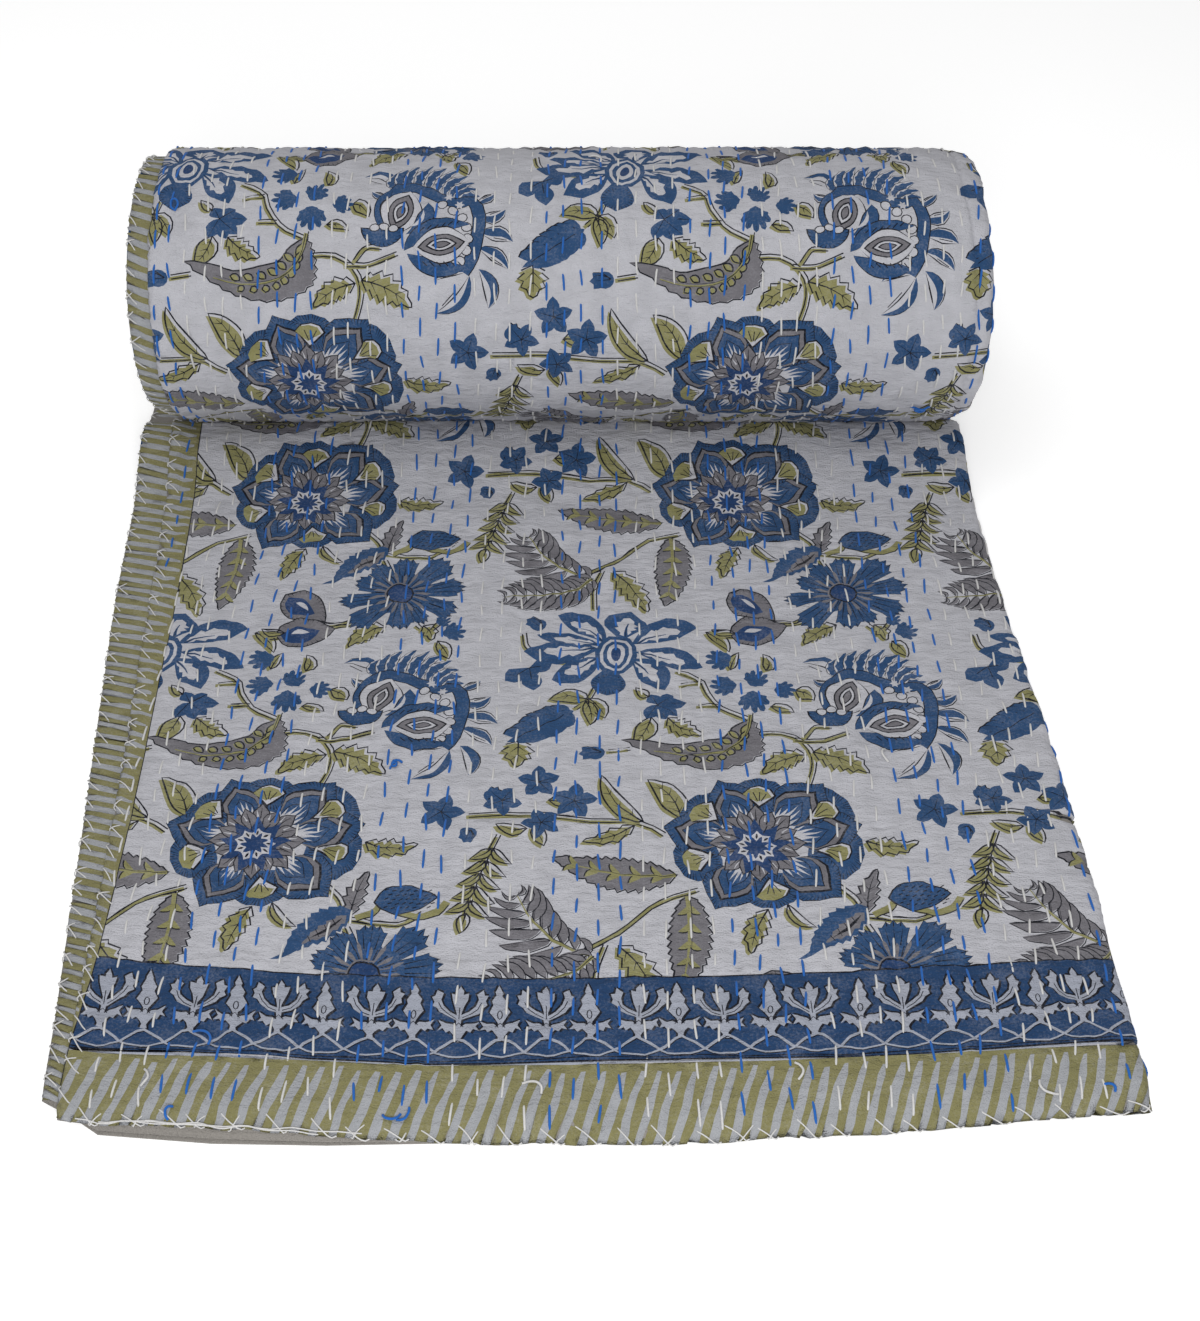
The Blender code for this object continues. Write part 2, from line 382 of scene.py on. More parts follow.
def petal(x0, y0, x1, y1, bend, half):
    # a dark petal with a bare jagged heart and a drawn vein
    put("blue", blade(x0, y0, x1, y1, bend, half, 0.55))
    ax, ay = x0 + (x1 - x0) * 0.08, y0 + (y1 - y0) * 0.08
    bx, by = x0 + (x1 - x0) * 0.74, y0 + (y1 - y0) * 0.74
    put("white", blade(ax, ay, bx, by, bend * 0.6, half * 0.5, 0.6, 4, 0.6))
    vein = spine(ax, ay, (ax + bx * 2) / 3, (ay + by * 2) / 3, bend * 0.4, np.linspace(0, 1, 4))[0]
    pen(vein, half * 0.20, True, "blue")
    pen(vein, 0.5, True)


# The motifs of one repeat lie round the middle of its big rosette. The rosette has pointed
# petals with round lobes between them: angle and reach of each, then the outlines of their
# parts, in shares of the reach and of the half spread.
rosetteShape = {
    "tips": ((12, 62), (47, 60), (114, 51), (167, 55), (241, 54), (318, 60)),
    "lobes": ((30, 61), (85, 47), (143, 49), (198, 49), (281, 47), (351, 60)),
    "point": ((0.52, 0.90), (0.68, 1.0), (0.80, 0.78), (0.88, 0.42), (0.94, 0.16), (1, 0)),
    "round": ((0.58, 0.98), (0.78, 1.0), (0.92, 0.80), (1, 0.42), (1.02, 0)),
    "spikes": ((0.3, -0.7), (0.66, -0.95), (0.56, -0.80), (0.82, -0.62), (0.62, -0.42), (0.94, -0.26),
               (0.70, -0.08), (1.0, 0.04), (0.68, 0.20), (0.90, 0.36), (0.62, 0.50), (0.78, 0.70),
               (0.56, 0.82), (0.62, 0.98), (0.3, 0.7)),
    "bands": (("line", 0.89, 22.5), ("grey", 0.86, 21.5), ("line", 0.805, 18.5), ("blue", 0.79, 18)),
    "window": ((0.58, 0), (0.80, 1), (0.87, 0.6), (0.885, 0), (0.87, -0.6), (0.80, -1)),
}


def fan(angle, reach, spread, rows):
    return np.array([polar(angle + spread * w, reach * r) for r, w in rows])


def wedge(angle, reach, spread, base=(0.42, 0.5), end="point"):
    # a broad petal, narrow at its base and full in the middle, with an ogee point or a round end
    half = (base, *rosetteShape[end])
    return fan(angle, reach, spread, half + tuple((r, -w) for r, w in half[-2::-1]))


def rosette():
    for angle, reach in rosetteShape["lobes"]:
        lobe = wedge(angle, reach, 26, (0.5, 0.55), "round")
        put("blue", lobe)
        comb(lobe[1:10], 6.5, 2.0)
    for angle, reach in rosetteShape["tips"]:
        outer = wedge(angle, reach, 25)
        outlined(outer, 1.03)
        comb(outer[2:12], 4.0, 2.3)
        for ink, share, spread in rosetteShape["bands"]:
            put(ink, wedge(angle, reach * share, spread))
        put("line", ring(wedge(angle, reach * 0.68, 14), 0.5))
        put("white", fan(angle, reach * 0.63, 17, rosetteShape["spikes"]))
    # the windows between the petals: a bare fan with an olive half
    for angle, reach in rosetteShape["lobes"]:
        wide = 13 if reach < 52 else 8
        window = fan(angle, reach, wide, rosetteShape["window"])
        outlined(window, 1.18, "white")
        put("olive", np.array([polar(angle, reach * 0.66), *window[1:]]) + (-1.4, -0.8))
        for off in (-6, 0, 6):
            pen((polar(angle + off * 0.3, reach * 0.66), polar(angle + off, reach * 0.80)), 0.6)
    for turn, reach in ((0, 27.5), (22.5, 24.5)):
        for a in range(0, 360, 45):
            outlined(wedge(turn + a, reach, 14.5, (0.4, 0.5)), 1.16, "grey")
            pen((polar(turn + a, reach * 0.6), polar(turn + a, reach * 0.9)), 0.9, True)
            pen((polar(turn + a + 5, reach * 0.66), polar(turn + a + 7, reach * 0.84)), 1.1, True, "white")
    middle = (-1, -3)
    put("deep", burst(*middle, 21, 12.5, 9, 10))
    for a in range(5, 360, 40):
        pen((polar(a + 20, 11, *middle), polar(a + 20, 17, *middle)), 0.6)
        put("white", burst(*polar(a, 8.4, *middle), 3.6, 2.2, 4, a))
        put("line", blade(*polar(a, 6.2, *middle), *polar(a, 10.2, *middle), 0, 0.75))
    put("deep", oval(*middle, 4.4, 4.4))


# petals of the lotus round its middle: base, tip, bow, half width
lotusRows = (
    (6, 12, 10, 36, 2, 14), (-6, 8, -37, 34, -4, 9), (-10, 3, -58, 1, 2, 9.5), (-10, -4, -40, -24, 2, 9.5),
    (10, 7, 52, 22, 4, 10), (12, 0, 54, -14, 2, 8.5), (9, -6, 30, -33, 3, 10), (-9, 6, -50, 16, 0, 6),
)
lotusHeart = (("blue", 13, 17), ("white", 10, 14), ("blue", 8, 12), ("white", 5.5, 9), ("deep", 3, 5.5))


def lotus(x, y):
    # the big open flower, its petals at all angles round a dark centre
    for x0, y0, x1, y1, bow, half in lotusRows:
        petal(x + x0, y + y0, x + x1, y + y1, bow, half)
    put("blue", blade(x - 3, y - 8, x - 6, y - 38, 0, 11, 0.66))
    comb(oval(x - 5, y - 28, 10.5, 9), 3.5, 2.2)
    for way in (-1, 1):
        put("blue", blade(x + 9 * way, y + 8, x - 3 + 4 * way, y - 26, -6 * way, 3.4))
    for ink, rx, ry in lotusHeart:
        put(ink, oval(x, y - 2, rx * 1.03, ry * 1.03, -8))


podRings = (("line", 1.0), ("grey", 0.9), ("line", 0.62), ("white", 0.5), ("line", 0.34), ("grey", 0.24))


def pod(x0, y0, x1, y1, half):
    # a grey seed inside a bare husk, with drawn rings round it
    for ink, wide in (("line", 1.75), ("white", 1.6)):
        put(ink, blade(x0, y0, x1, y1, 0, half * wide, 0.52))
    middle, reach = np.array((x0 + x1, y0 + y1)) / 2, np.array((x1 - x0, y1 - y0)) / 2
    for ink, share in podRings:
        part = reach * (0.1 + share * 0.76)
        put(ink, blade(*(middle - part), *(middle + part), 0, half * share, 0.5))


# the fantasy flower: two seed pods under a crest of plumes
plumeRows = (
    (108, 122, 122, 131, -2, 2.6), (112, 111, 129, 117, -3, 4.2), (113, 99, 134, 94, 3, 4.8),
    (112, 89, 131, 76, 3, 4.0), (112, 76, 118, 51, 5, 4.4), (106, 72, 84, 48, 6, 3.6),
    (104, 74, 84, 69, -3, 2.6), (56, 133, 36, 145, -8, 3.4), (54, 126, 42, 131, 2, 2.6),
)
scrollPath = ((54, 124), (60, 134), (72, 134), (84, 128), (96, 122), (107, 124), (112, 112), (111, 98),
              (108, 84), (102, 74))


def plumed():
    for x0, y0, x1, y1, bow, half in plumeRows:
        put("line", blade(x0, y0, x1, y1, bow, half + 0.9))
        put("white", blade(x0, y0, x1, y1, bow, half))
        put("blue", blade(x0, y0, x1, y1, bow * 1.35, half * 0.62, 0.42))
        pen([(x0 * (1 - k) + x1 * k, y0 * (1 - k) + y1 * k) for k in (0.4, 0.8)], 0.6)
    bases = curve(((60, 131), (70, 129), (82, 128), (92, 124), (98, 118)), 9)
    tips = curve(((58, 149), (70, 157), (86, 157), (100, 151), (109, 139), (112, 128)), 9)
    for base, tip in zip(bases, tips):
        for ink, more in (("line", 1.3), ("white", 0.8), ("blue", 0.0)):
            put(ink, blade(*base, *tip, 5, 2.7 + more, 0.55, 5 if ink == "blue" else 0))
    # the scroll down the right of the lower pod, and its scalloped rim
    scroll = curve(scrollPath, 18)
    pen(scroll, 9.0)
    pen(scroll, 7.6, ink="blue")
    for spot in ((88, 121), (95, 116), (101, 111), (104, 104), (105, 96), (104, 88), (100, 81)):
        put("line", oval(*spot, 3.7, 3.7, 0, 9))
        put("white", oval(*spot, 3.0, 3.0, 0, 9))
    for spot in ((92, 127), (99, 121)):
        put("white", burst(*spot, 3.4, 1.8, 6))
    for ink, more in (("line", 0.6), ("blue", 0)):
        put(ink, blade(49, 102, 56, 134, 4, 3.6 + more))
    pod(56, 99, 67, 131, 8.2)
    for ink, more in (("line", 0.8), ("blue", 0)):
        put(ink, blade(65, 99, 79, 122, -5, 5.0 + more, 0.6))
    put("white", blade(68, 104, 76, 117, -3, 1.3))
    for ink, more in (("line", 0.8), ("blue", 0)):
        put(ink, blade(64, 88, 106, 106, 7, 5.4 + more, 0.45))
        put(ink, blade(66, 86, 104, 78, -5, 5.4 + more))
    pod(70, 90, 106, 94, 7.4)
    for k in range(6):
        pen(((76 + 4.5 * k, 81), (79 + 4.5 * k, 78)), 0.7)
        pen(((74 + 4.5 * k, 101 + k), (77 + 4.5 * k, 104 + k)), 0.7)
    cup = np.array([polar(a, 13) for a in range(180, 361, 15)]) * (1, 0.95) + (50, 103)
    outlined(cup, 1.08)
    comb(cup, 3.4, 3.0)
    for spot in ((45, 103.5), (51, 104.5), (57, 103)):
        put("line", oval(*spot, 3.6, 2.9, 0, 9))
        put("white", oval(*spot, 2.9, 2.2, 0, 9))


def sawPetal(x, y, angle, reach, half):
    # a petal that widens from the middle to a saw-toothed end
    u = np.linspace(1, -1, 9)
    along = reach * np.where(np.arange(9) % 2 == 0, 1.0, 0.93) * (1 - 0.16 * np.abs(u) ** 1.6)
    side = np.array(((0, half * 0.15), (reach * 0.42, half * 0.62), (reach * 0.7, half * 0.84)))
    return turned(np.vstack((side, np.stack((along, half * u), 1), (side * (1, -1))[::-1])), angle, x, y)


# petals of the poppy: angle, reach, half width
poppyRows = ((88, 34, 8.5), (46, 43, 10), (10, 42, 8.5), (-27, 41, 8.5), (-60, 33, 6), (-88, 33, 9),
             (-134, 44, 9), (-168, 41, 7), (158, 33, 7.5), (125, 33, 8))


def poppy(x, y):
    # a broad flower of saw-toothed petals round a hatched disc
    put("blue", burst(x, y, 21, 18, 11, 8))
    for angle, reach, half in poppyRows:
        outlined(sawPetal(x, y, angle, reach, half), 1.04)
        for off in (-0.55, 0, 0.55):
            turn = angle + math.degrees(math.atan2(half * off, reach * 0.8))
            pen((polar(turn, reach * 0.5, x, y), polar(turn, reach * 0.84, x, y)), 0.7, True)
        for off in (-0.5, 0, 0.5):
            turn = angle + math.degrees(math.atan2(half * off, reach))
            pen((polar(turn, reach * 0.88, x, y), polar(turn, reach * 0.98, x, y)), 0.6)
    for k in range(17):
        a = 360 / 17 * k
        put("grey", blade(*polar(a, 6, x, y), *polar(a, 19 + 3 * (k % 2), x, y), 0, 1.2, 0.7))
        pen((polar(a + 8, 9, x, y), polar(a + 8, 17, x, y)), 0.6)
    put("line", oval(x - 1, y, 9.4, 8.6, -30))
    put("deep", oval(x - 1, y, 8.2, 7.4, -30))
    pen(curve([polar(a, 9.6, x - 1, y) for a in (60, 100, 140, 180, 210)], 8), 1.0, ink="grey")


def starFlower(x, y, size, turn):
    for a in range(turn, turn + 360, 72):
        put("blue", blade(x, y, *polar(a, size, x, y), 0, size * 0.33, 0.46))
        pen(((x, y), polar(a, size * 0.8, x, y)), 0.55, True)
        pen(((x, y), polar(a + 36, size * 0.45, x, y)), 0.5)


def pink(x, y, size, turn):
    # a small fringed flower seen from the side
    foot = polar(turn + 180, size * 0.75, x, y)
    for k in (-2, -1, 0, 1, 2):
        tip = polar(turn + 34 * k, size * (1.0 - 0.05 * abs(k)), x, y)
        put("blue", blade(*foot, *tip, 0, size * 0.30, 0.62, 3))
        pen((foot * 0.6 + tip * 0.4, foot * 0.1 + tip * 0.9), 0.6, True)
    put("blue", burst(x, y, size * 0.62, size * 0.5, 7, turn))


def bud(x, y, rx, ry, turn):
    # three pointed petals out of a round foot
    put("blue", oval(*polar(turn, -rx * 0.25, x, y), rx * 0.75, ry * 0.85, turn))
    foot = polar(turn, -rx * 0.7, x, y)
    for off, reach in ((-24, 1.55), (24, 1.55), (0, 1.7)):
        end = foot + polar(turn + off, rx * reach)
        lobe = blade(*foot, *end, -0.08 * off * rx / 10, ry * 0.52, 0.55)
        put("line", lobe + (0.5, 0.5))
        put("blue", lobe)
        pen((foot, foot * 0.3 + end * 0.7), 0.6, True)


# ink, base x, y, tip x, y, bow, half width, teeth, veins
leafRows = (
    ("grey", -47, -24, -117, -11, 4, 12, 13, 6), ("olive", -65, 17, -89, 52, 5, 5.5, 0, 3),
    ("olive", -43, 18, -62, 48, -4, 7.5, 0, 4), ("olive", -70, 14, -100, 1, 2, 5, 4, 3),
    ("olive", 33, 67, 6, 52, -3, 7, 5, 3), ("olive", 37, 69, 69, 52, 3, 9, 6, 3),
    ("olive", 62, 0, 92, -1, -4, 6.5, 5, 3), ("olive", 3, -48, -8, -78, -2, 6.5, 5, 3),
    ("olive", 14, -45, 29, -61, -3, 3.2, 0, 0), ("grey", 58, -52, 66, -22, 2, 6, 5, 2),
    ("grey", -41, -38, -47, -106, 3, 12, 13, 6), ("olive", -80, -72, -58, -112, 3, 8, 6, 4),
    ("olive", -97, 113, -121, 114, -4, 6, 0, 2), ("olive", -97, 114, -87, 98, 2, 5.5, 0, 2),
    ("olive", -99, 112, -96, 92, 2, 4.5, 0, 2), ("olive", -59, 98, -70, 79, 2, 6.5, 0, 3),
    ("olive", -49, 97, -28, 84, -2, 6.5, 5, 3), ("olive", -139, 80, -139, 59, 0, 9, 4, 2),
    ("olive", 62, -122, 40, -141, -3, 6.5, 5, 2), ("olive", -9, 139, -3, 154, 1, 3, 0, 1),
    ("olive", 13, 137, 12, 152, -3, 4, 0, 1), ("olive", 30, 121, 41, 112, 2, 5, 0, 1),
    ("olive", 14, 106, 28, 102, 2, 3.5, 0, 1), ("olive", -23, 172, -9, 154, 3, 4, 0, 1),
    ("olive", 1, -131, -18, -128, 2, 3.6, 0, 0), ("olive", 86, -122, 92, -136, 2, 5, 3, 1),
    ("olive", 96, -136, 104, -152, 1, 4.5, 0, 1), ("olive", -4, 172, -19, 175, 2, 3, 0, 0),
    ("olive", -118, 152, -100, 150, -2, 3.2, 0, 0), ("olive", -120, 32, -104, 28, 2, 4, 0, 1),
    ("olive", -132, 10, -150, 14, 2, 4, 0, 1), ("olive", -129, 12, -122, -3, 1, 4, 0, 1),
)
stemRows = (
    ((-166, 21), (-130, 22), (-95, 17), (-70, 17), (-53, 7)),
    ((5, 85), (20, 85), (32, 77), (37, 66), (36, 54), (32, 42)),
    ((27, 79), (42, 79), (60, 86)), ((33, 81), (40, 90), (50, 90)),
    ((-35, -34), (-58, -43), (-78, -62), (-98, -76)), ((-87, -72), (-92, -88), (-92, -108)),
    ((44, -32), (52, -42), (57, -56)), ((57, -54), (72, -57), (88, -57), (98, -50)),
    ((1, 96), (-14, 104), (-24, 118), (-28, 130), (-42, 138)), ((-27, 128), (-40, 126)),
    ((-18, 108), (-30, 108)), ((18, -120), (32, -121), (46, -114)),
    ((24, -126), (34, -122), (44, -120)), ((-105, 106), (-97, 114), (-93, 124)),
    ((-85, 71), (-72, 73)), ((57, -60), (62, -72), (60, -76)),
    ((-138, 172), (-136, 160), (-128, 153)), ((96, -120), (90, -128), (82, -122)),
)
# middle x and y, then size (a bud has two) and turn
budRows = ((-95, 70, 8, 6.5, 185), (-131, 181, 7, 7, 150), (-153, 37, 6, 5, 60), (-166, 6, 6, 6, 250))
starRows = ((-126, 47, 13, 20), (-147, 32, 12, 60), (-105, 32, 14, 10), (-124, 15, 12, 40),
            (-182, 23, 14, 0))
pinkRows = ((-15, 148, 10, 200), (-13, 125, 10, 190), (6, 130, 9, 60), (4, 112, 11, 270), (23, 121, 8, 0),
            (105, -128, 9, 10), (98, -118, 6, 30))


def fern():
    stem(((-148, 6), (-158, -20), (-164, -52)))
    for k in range(5):
        x, y = -151 - 2.8 * k, -3 - 9.5 * k
        leaf("olive", x, y, x + 11, y - 12, -2, 3.0, 0, 0)
        leaf("olive", x - 1, y, x - 13, y - 8, 2, 3.0, 0, 0)
    leaf("olive", -164, -50, -167, -64, 0, 3.6, 0, 0)


def feather(path, side, lobes, reach):
    # a feathery grey leaf, with lobes on both sides of its rib
    rib = curve(path, lobes)
    for k, (point, across) in enumerate(zip(rib, leftOf(np.gradient(rib, axis=0)))):
        ahead = np.array((across[1], -across[0]))
        size = reach * math.sin(math.pi * (0.18 + 0.72 * k / lobes))
        for way in (1, -1):
            tip = point + ahead * size * 0.85 + across * way * size * (0.95 if way == side else 0.7)
            lobe = blade(*point, *tip, 2.8 * way, size * 0.165, 0.42)
            put("grey", lobe + slip["grey"])
            put("line", ring(lobe, 0.7))
            pen((point, (point + tip) / 2), 0.5, True)
    pen(rib, 2.3, True, "olive")
    pen(rib + (0.8, 0.6), 0.6, True)


def celledLeaf():
    # the long curved leaf, with rows of olive cells over its grey ground
    back = ((3, 98), (7, 88), (9, 76), (6, 66), (-6, 58), (-24, 55), (-44, 59), (-60, 68), (-77, 81),
            (-58, 79), (-45, 75), (-29, 78), (-15, 82), (-8, 91), (3, 98))
    edge = curve(back, 56)[:-1]
    edge = edge.mean(0) + (edge - edge.mean(0)) * np.where(np.arange(56) % 2 == 0, 1.0, 0.94)[:, None]
    put("grey", edge + slip["grey"])
    put("line", ring(edge, 0.9))
    rib = curve(((2, 100), (-2, 84), (-16, 70), (-40, 67), (-66, 74)), 12)
    for k, (x, y) in enumerate(rib[1:10]):
        cells = [blade(x - 2, y - 2, x - 6 + 0.8 * k, y - 10 + 0.6 * k, 0.6, 2.5)]
        if k > 2:
            cells.append(blade(x - 1, y + 2, x - 7, y + 8 - 0.4 * k, -0.6, 2.3))
        for cell in cells:
            put("olive", cell + (-0.8, -0.6))
            put("line", ring(cell, 0.95))
    put("olive", stroke(rib[:-1], 2.6, True) + (-0.7, -0.5))
    pen(rib[:-1] + (0.9, 0.9), 0.7, True)
    pen(rib[:-1] + (-0.9, -0.9), 0.6, True)


def onionBud(x, y, tipX, tipY):
    def along(share):
        return x + (tipX - x) * share, y + (tipY - y) * share

    back = blade(*along(-0.75), tipX, tipY, 0, 13, 0.40)
    put("grey", back)
    put("line", ring(back, 0.9))
    comb(back, 3.2, 2.8)
    put("deep", blade(*along(-0.62), *along(0.55), -2, 7.4, 0.45))
    put("white", blade(*along(-0.3), *along(0.25), 1, 1.9))


def eyeLeaf():
    put("blue", blade(58, -48, 24, -78, -1, 10.5, 0.42, 9))
    put("blue", blade(34, -69, 17, -83, 2, 2.2, 0.3))
    put("grey", blade(56, -52, 33, -72, 1, 4.6, 0.42, 5))
    put("line", blade(54, -54, 37, -69, 1, 0.9, 0.42))
    for k in range(4):
        x, y = 50 - 4.2 * k, -57 - 4.0 * k
        pen(((x - 1.6, y + 2.4), (x + 0.8, y - 2.6)), 0.5)


def cupBud(x, y):
    # a hatched dark bud, held from below by an olive cup
    cup = curve(((-24, -12), (-14, -7), (-10, -1), (-2, -7), (10, -11), (20, -8), (26, 0)), 14)
    pen(cup + (x - 1, y - 1), 4.6, ink="olive")
    pen(cup + (x, y - 3.2), 0.8)
    outlined(blade(x - 15, y - 1, x + 19, y + 2, 0, 9.6, 0.42), 1.07)
    for row in range(5):
        for k in range(7):
            u, v = x - 10 + 4.0 * k + 2 * (row % 2), y - 6 + 3.0 * row
            pen(((u, v), (u + 2.2, v + 1.2)), 0.7)


def veined(x, y, x1, y1, half, belly, whole):
    # a plain blue petal with a vein down the whole or the half of it
    put("blue", blade(x, y, x1, y1, 0, half, belly))
    vein = ((x, y), ((x + x1) / 2, (y + y1) / 2), (x1, y1))
    pen(vein if whole else vein[:2], 0.6, whole)


def fringedBud():
    # a bud of overlapping ragged petals, seen from the side
    for k in range(7):
        x, y = -108 - 4.4 * k, 103 - 2.8 * k
        for way in (-1, 1):
            tip = (x - 9 + 4.5 * way, y - 5 - 10.5 * way * math.sin(math.pi * (0.3 + 0.1 * k)))
            lobe = blade(x, y, *tip, 1.2 * way, 4.2)
            put("line", lobe + (-0.8, 0.5))
            put("blue", lobe)
            pen(((x, y), ((x + tip[0]) / 2, (y + tip[1]) / 2)), 0.6)
    put("blue", blade(-106, 104, -146, 78, 0, 5.5, 0.4))
    pen(((-112, 100), (-128, 90), (-140, 82)), 0.6)


# tips of the petals of two side-on flowers, and the half width of the first one's
tulipTips = ((-62, 97, 5), (-50, 96, 5), (-43, 99, 4.5), (-37, 110, 5), (-45, 117, 5), (-59, 118, 5))
bellTips = ((-149, 131), (-131, 122), (-127, 140), (-120, 146))


def repeatDrawing():
    # the whole repeat; it spans more than its own pitch, so that its neighbours interlock
    for row in stemRows:
        stem(row)
    for row in leafRows:
        leaf(*row)
    fern()
    feather(((-96, -79), (-114, -70), (-128, -54), (-136, -38)), 1, 8, 23)
    feather(((-94, -80), (-106, -90), (-126, -95), (-150, -97)), -1, 11, 19)
    celledLeaf()
    rosette()
    lotus(-80, 155)
    plumed()
    poppy(70, -92)
    onionBud(7, -104, 23, -118)
    onionBud(9, -129, 30, -125)
    eyeLeaf()
    for x, y, half in tulipTips:
        veined(-55, 110, x, y, half, 0.55, True)
    leaf("olive", -60, 116, -68, 124, 0, 3.2, 0, 0)
    fringedBud()
    cupBud(86, -41)
    for row in budRows:
        bud(*row)
    for tip in bellTips:
        veined(-134, 142, *tip, 6.5, 0.6, False)
    for row in starRows:
        starFlower(*row)
    for row in pinkRows:
        pink(*row)
    return finishedDrawing()


# the printed borders, in millimetres from the front end
border = {
    "olive": 42.5, "band": 53.0, "pitch": 23.5, "firstPalmette": -148.6,
    "bar": 9.7, "sideBar": 8.7, "rollBar": 10.7, "lean": 0.31, "sideLean": -0.22,
    "stripAt": (0, 45, 100, 200, 400, 600), "stripEdge": (-259.0, -256.0, -252.5, -250.5, -254.0, -261.0),
    "repeatX": 286, "repeatV": 302,
}


def bandBow(x):
    # the band is wider towards its two ends
    left = 14 * np.clip((-60 - x) / 230, 0, None) ** 2
    return left + 5 * np.clip((x + 20) / 320, 0, None) ** 2


def bothSides(half):
    # a closed outline from its right half, listed from top to bottom
    return np.concatenate((half, np.array(half[::-1]) * (-1, 1)))


# the outlines of the two palmettes, above the foot of the band
threeLobed = bothSides(((0, 47.5), (1.8, 44.5), (1.7, 42.6), (4.7, 43.2), (4.1, 39), (2.6, 35.5),
                        (1.1, 31), (1.0, 26)))
flameBud = bothSides(((0, 48.5), (2.0, 44), (1.5, 42.4), (3.9, 38.5), (3.1, 36), (5.6, 31.5),
                      (2.9, 28), (0.3, 24)))
horn = np.array(((0.8, 29.5), (5.2, 32), (8.8, 35.5), (10.0, 39.5), (9.0, 43), (12.4, 45.6), (13.2, 42.2),
                 (15.2, 41.6), (13.8, 38.6), (14.8, 36.2), (12.0, 34.4), (10.2, 31.4), (6.0, 28.8),
                 (0.8, 26.4)))
wing = np.array(((0.6, 22), (3.4, 24.4), (6.8, 24.6), (10.9, 26.4), (9.0, 23.4), (11.0, 20.4), (8.0, 21.4),
                 (6.6, 19.2), (4.4, 20.4), (2.6, 18.2), (1.1, 15.8), (0.6, 15)))
palmetteStem = bothSides(((1.3, 27), (1.0, 22), (1.2, 17), (1.9, 14)))
hornVein = np.array(((1.6, 28.0), (6.0, 30.4), (9.6, 34.0), (11.4, 38.0)))


def between(ink, low, high):
    # fills from one open line to the other
    put(ink, np.concatenate((low, high[::-1])))


def palmette(x, odd, random):
    # one of the two kinds in turn, each a little askew, bare on dark offset shades
    motif = [palmetteStem, wing, wing * (-1, 1)]
    motif += [flameBud] if odd else [threeLobed, horn, horn * (-1, 1)]
    rise = 1 + bandBow(x) / border["band"]
    lean, lift = random.uniform(-0.06, 0.06), random.uniform(-0.6, 0.6)

    def spot(outline):
        u, w = np.array(outline, float).T
        return np.stack((u + lean * w + x, w * rise + lift + border["olive"]), 1)

    spots = [spot(outline) + random.uniform(-0.3, 0.3, outline.shape) for outline in motif]
    for outline in spots:
        for off in ((1.3, -0.7), (-1.1, 0.5), (0.3, 1.1)):
            put("line", outline + off)
    # the bare cloth of the palmettes is bluish and darkened as painted shade of the front end
    for outline in spots:
        put("bandWhite", outline)
    if odd:
        put("line", ring(oval(x + lean * 30, border["olive"] + 30 * rise, 1.3, 2.6, 0, 8), 0.6))
    veins = [((-2.6, 22.6), (0, 25.2), (2.6, 22.6))]
    if not odd:
        veins += [hornVein, hornVein * (-1, 1), ((0, 27.5), (0, 35))]
    for vein in veins:
        pen(spot(vein), 0.5)


def bandDrawing():
    # the blue band along the front end: palmettes over two rows of scallops
    random = np.random.RandomState(2)
    xs = np.arange(-300, 345, 12.0)
    foot = border["olive"]
    low = foot + 0.7 * np.sin(xs / 37)
    high = foot + border["band"] + bandBow(xs) + random.uniform(-0.5, 0.5, len(xs))
    between("bandBlue", np.stack((xs, low), 1), np.stack((xs, high), 1))
    # the bare lines and scallops take the band's white, darkened as painted shade of the front end
    edgeLines = ((high, 0.9, "line"), (low + 2.4 + 0.5 * np.sin(xs / 9), 0.6, "line"),
                 (low + 0.5, 1.0, "line"), (low - 0.6, 1.0, "bandWhite"))
    for v, width, ink in edgeLines:
        pen(np.stack((xs, v), 1), width, ink=ink)
    half = border["pitch"] / 2
    arc = curve(((-half, 7.0), (-half * 0.55, 11.6), (0, 15.2), (half * 0.55, 11.6), (half, 7.0)), 8)
    dip = curve(((-half, 7.0), (-half * 0.5, 5.0), (0, 4.4), (half * 0.5, 5.0), (half, 7.0)), 6)
    for k in range(-6, 21):
        x = border["firstPalmette"] + border["pitch"] * k
        palmette(x, k % 2, random)
        wave = arc + random.uniform(-0.3, 0.3, arc.shape)
        pen(wave + (x + 0.3, foot - 1.0), 0.9)
        pen(wave + (x, foot), 1.5, ink="bandWhite")
        pen(dip + (x, foot - 0.8), 0.7)
        pen(dip + (x, foot), 1.0, ink="bandWhite")


def bars(along, start, end, low, high, pitch, lean, share, seed):
    # white bars across an olive strip, in bare cloth darkened as painted shade of the front end and margins;
    # along is "x" for the front end, else "v"
    random = np.random.RandomState(seed)
    side = np.linspace(0, 1, 8)
    taper = np.array((1, 1, 1, 1, 1, 0.96, 0.86, 0.5)) / 2
    at = start
    while at < end:
        width = pitch * share * random.uniform(0.82, 1.12) * taper
        push = random.uniform(-0.42, 0.42, (2, 8))
        reach = (high(at) if callable(high) else high) + random.uniform(-2.4, 0.8) - low
        middle = at + lean * reach * side + random.uniform(-0.8, 0.8) * np.sin(2.6 * math.pi * side)
        across = low + reach * side
        left, right = (np.stack((middle + w, across), 1) for w in (push[0] - width, push[1] + width))
        bar = np.concatenate((left, right[::-1]))
        put("hemWhite", bar if along == "x" else bar[:, ::-1])
        at += pitch * random.uniform(0.92, 1.08)


def repeats(cell, x, v, slant, seed):
    # six of the repeat, each set down a millimetre off at most
    random = np.random.RandomState(seed)
    for j in (1, 0):
        for i in (2, 1, 0):
            spot = (x + border["repeatX"] * i + slant * j, v + border["repeatV"] * j)
            off = spot + random.uniform(-1.0, 1.0, 2)
            drawing.extend((ink, outline + off) for ink, outline in cell)


def stripEdge(v):
    return np.interp(v, border["stripAt"], border["stripEdge"])


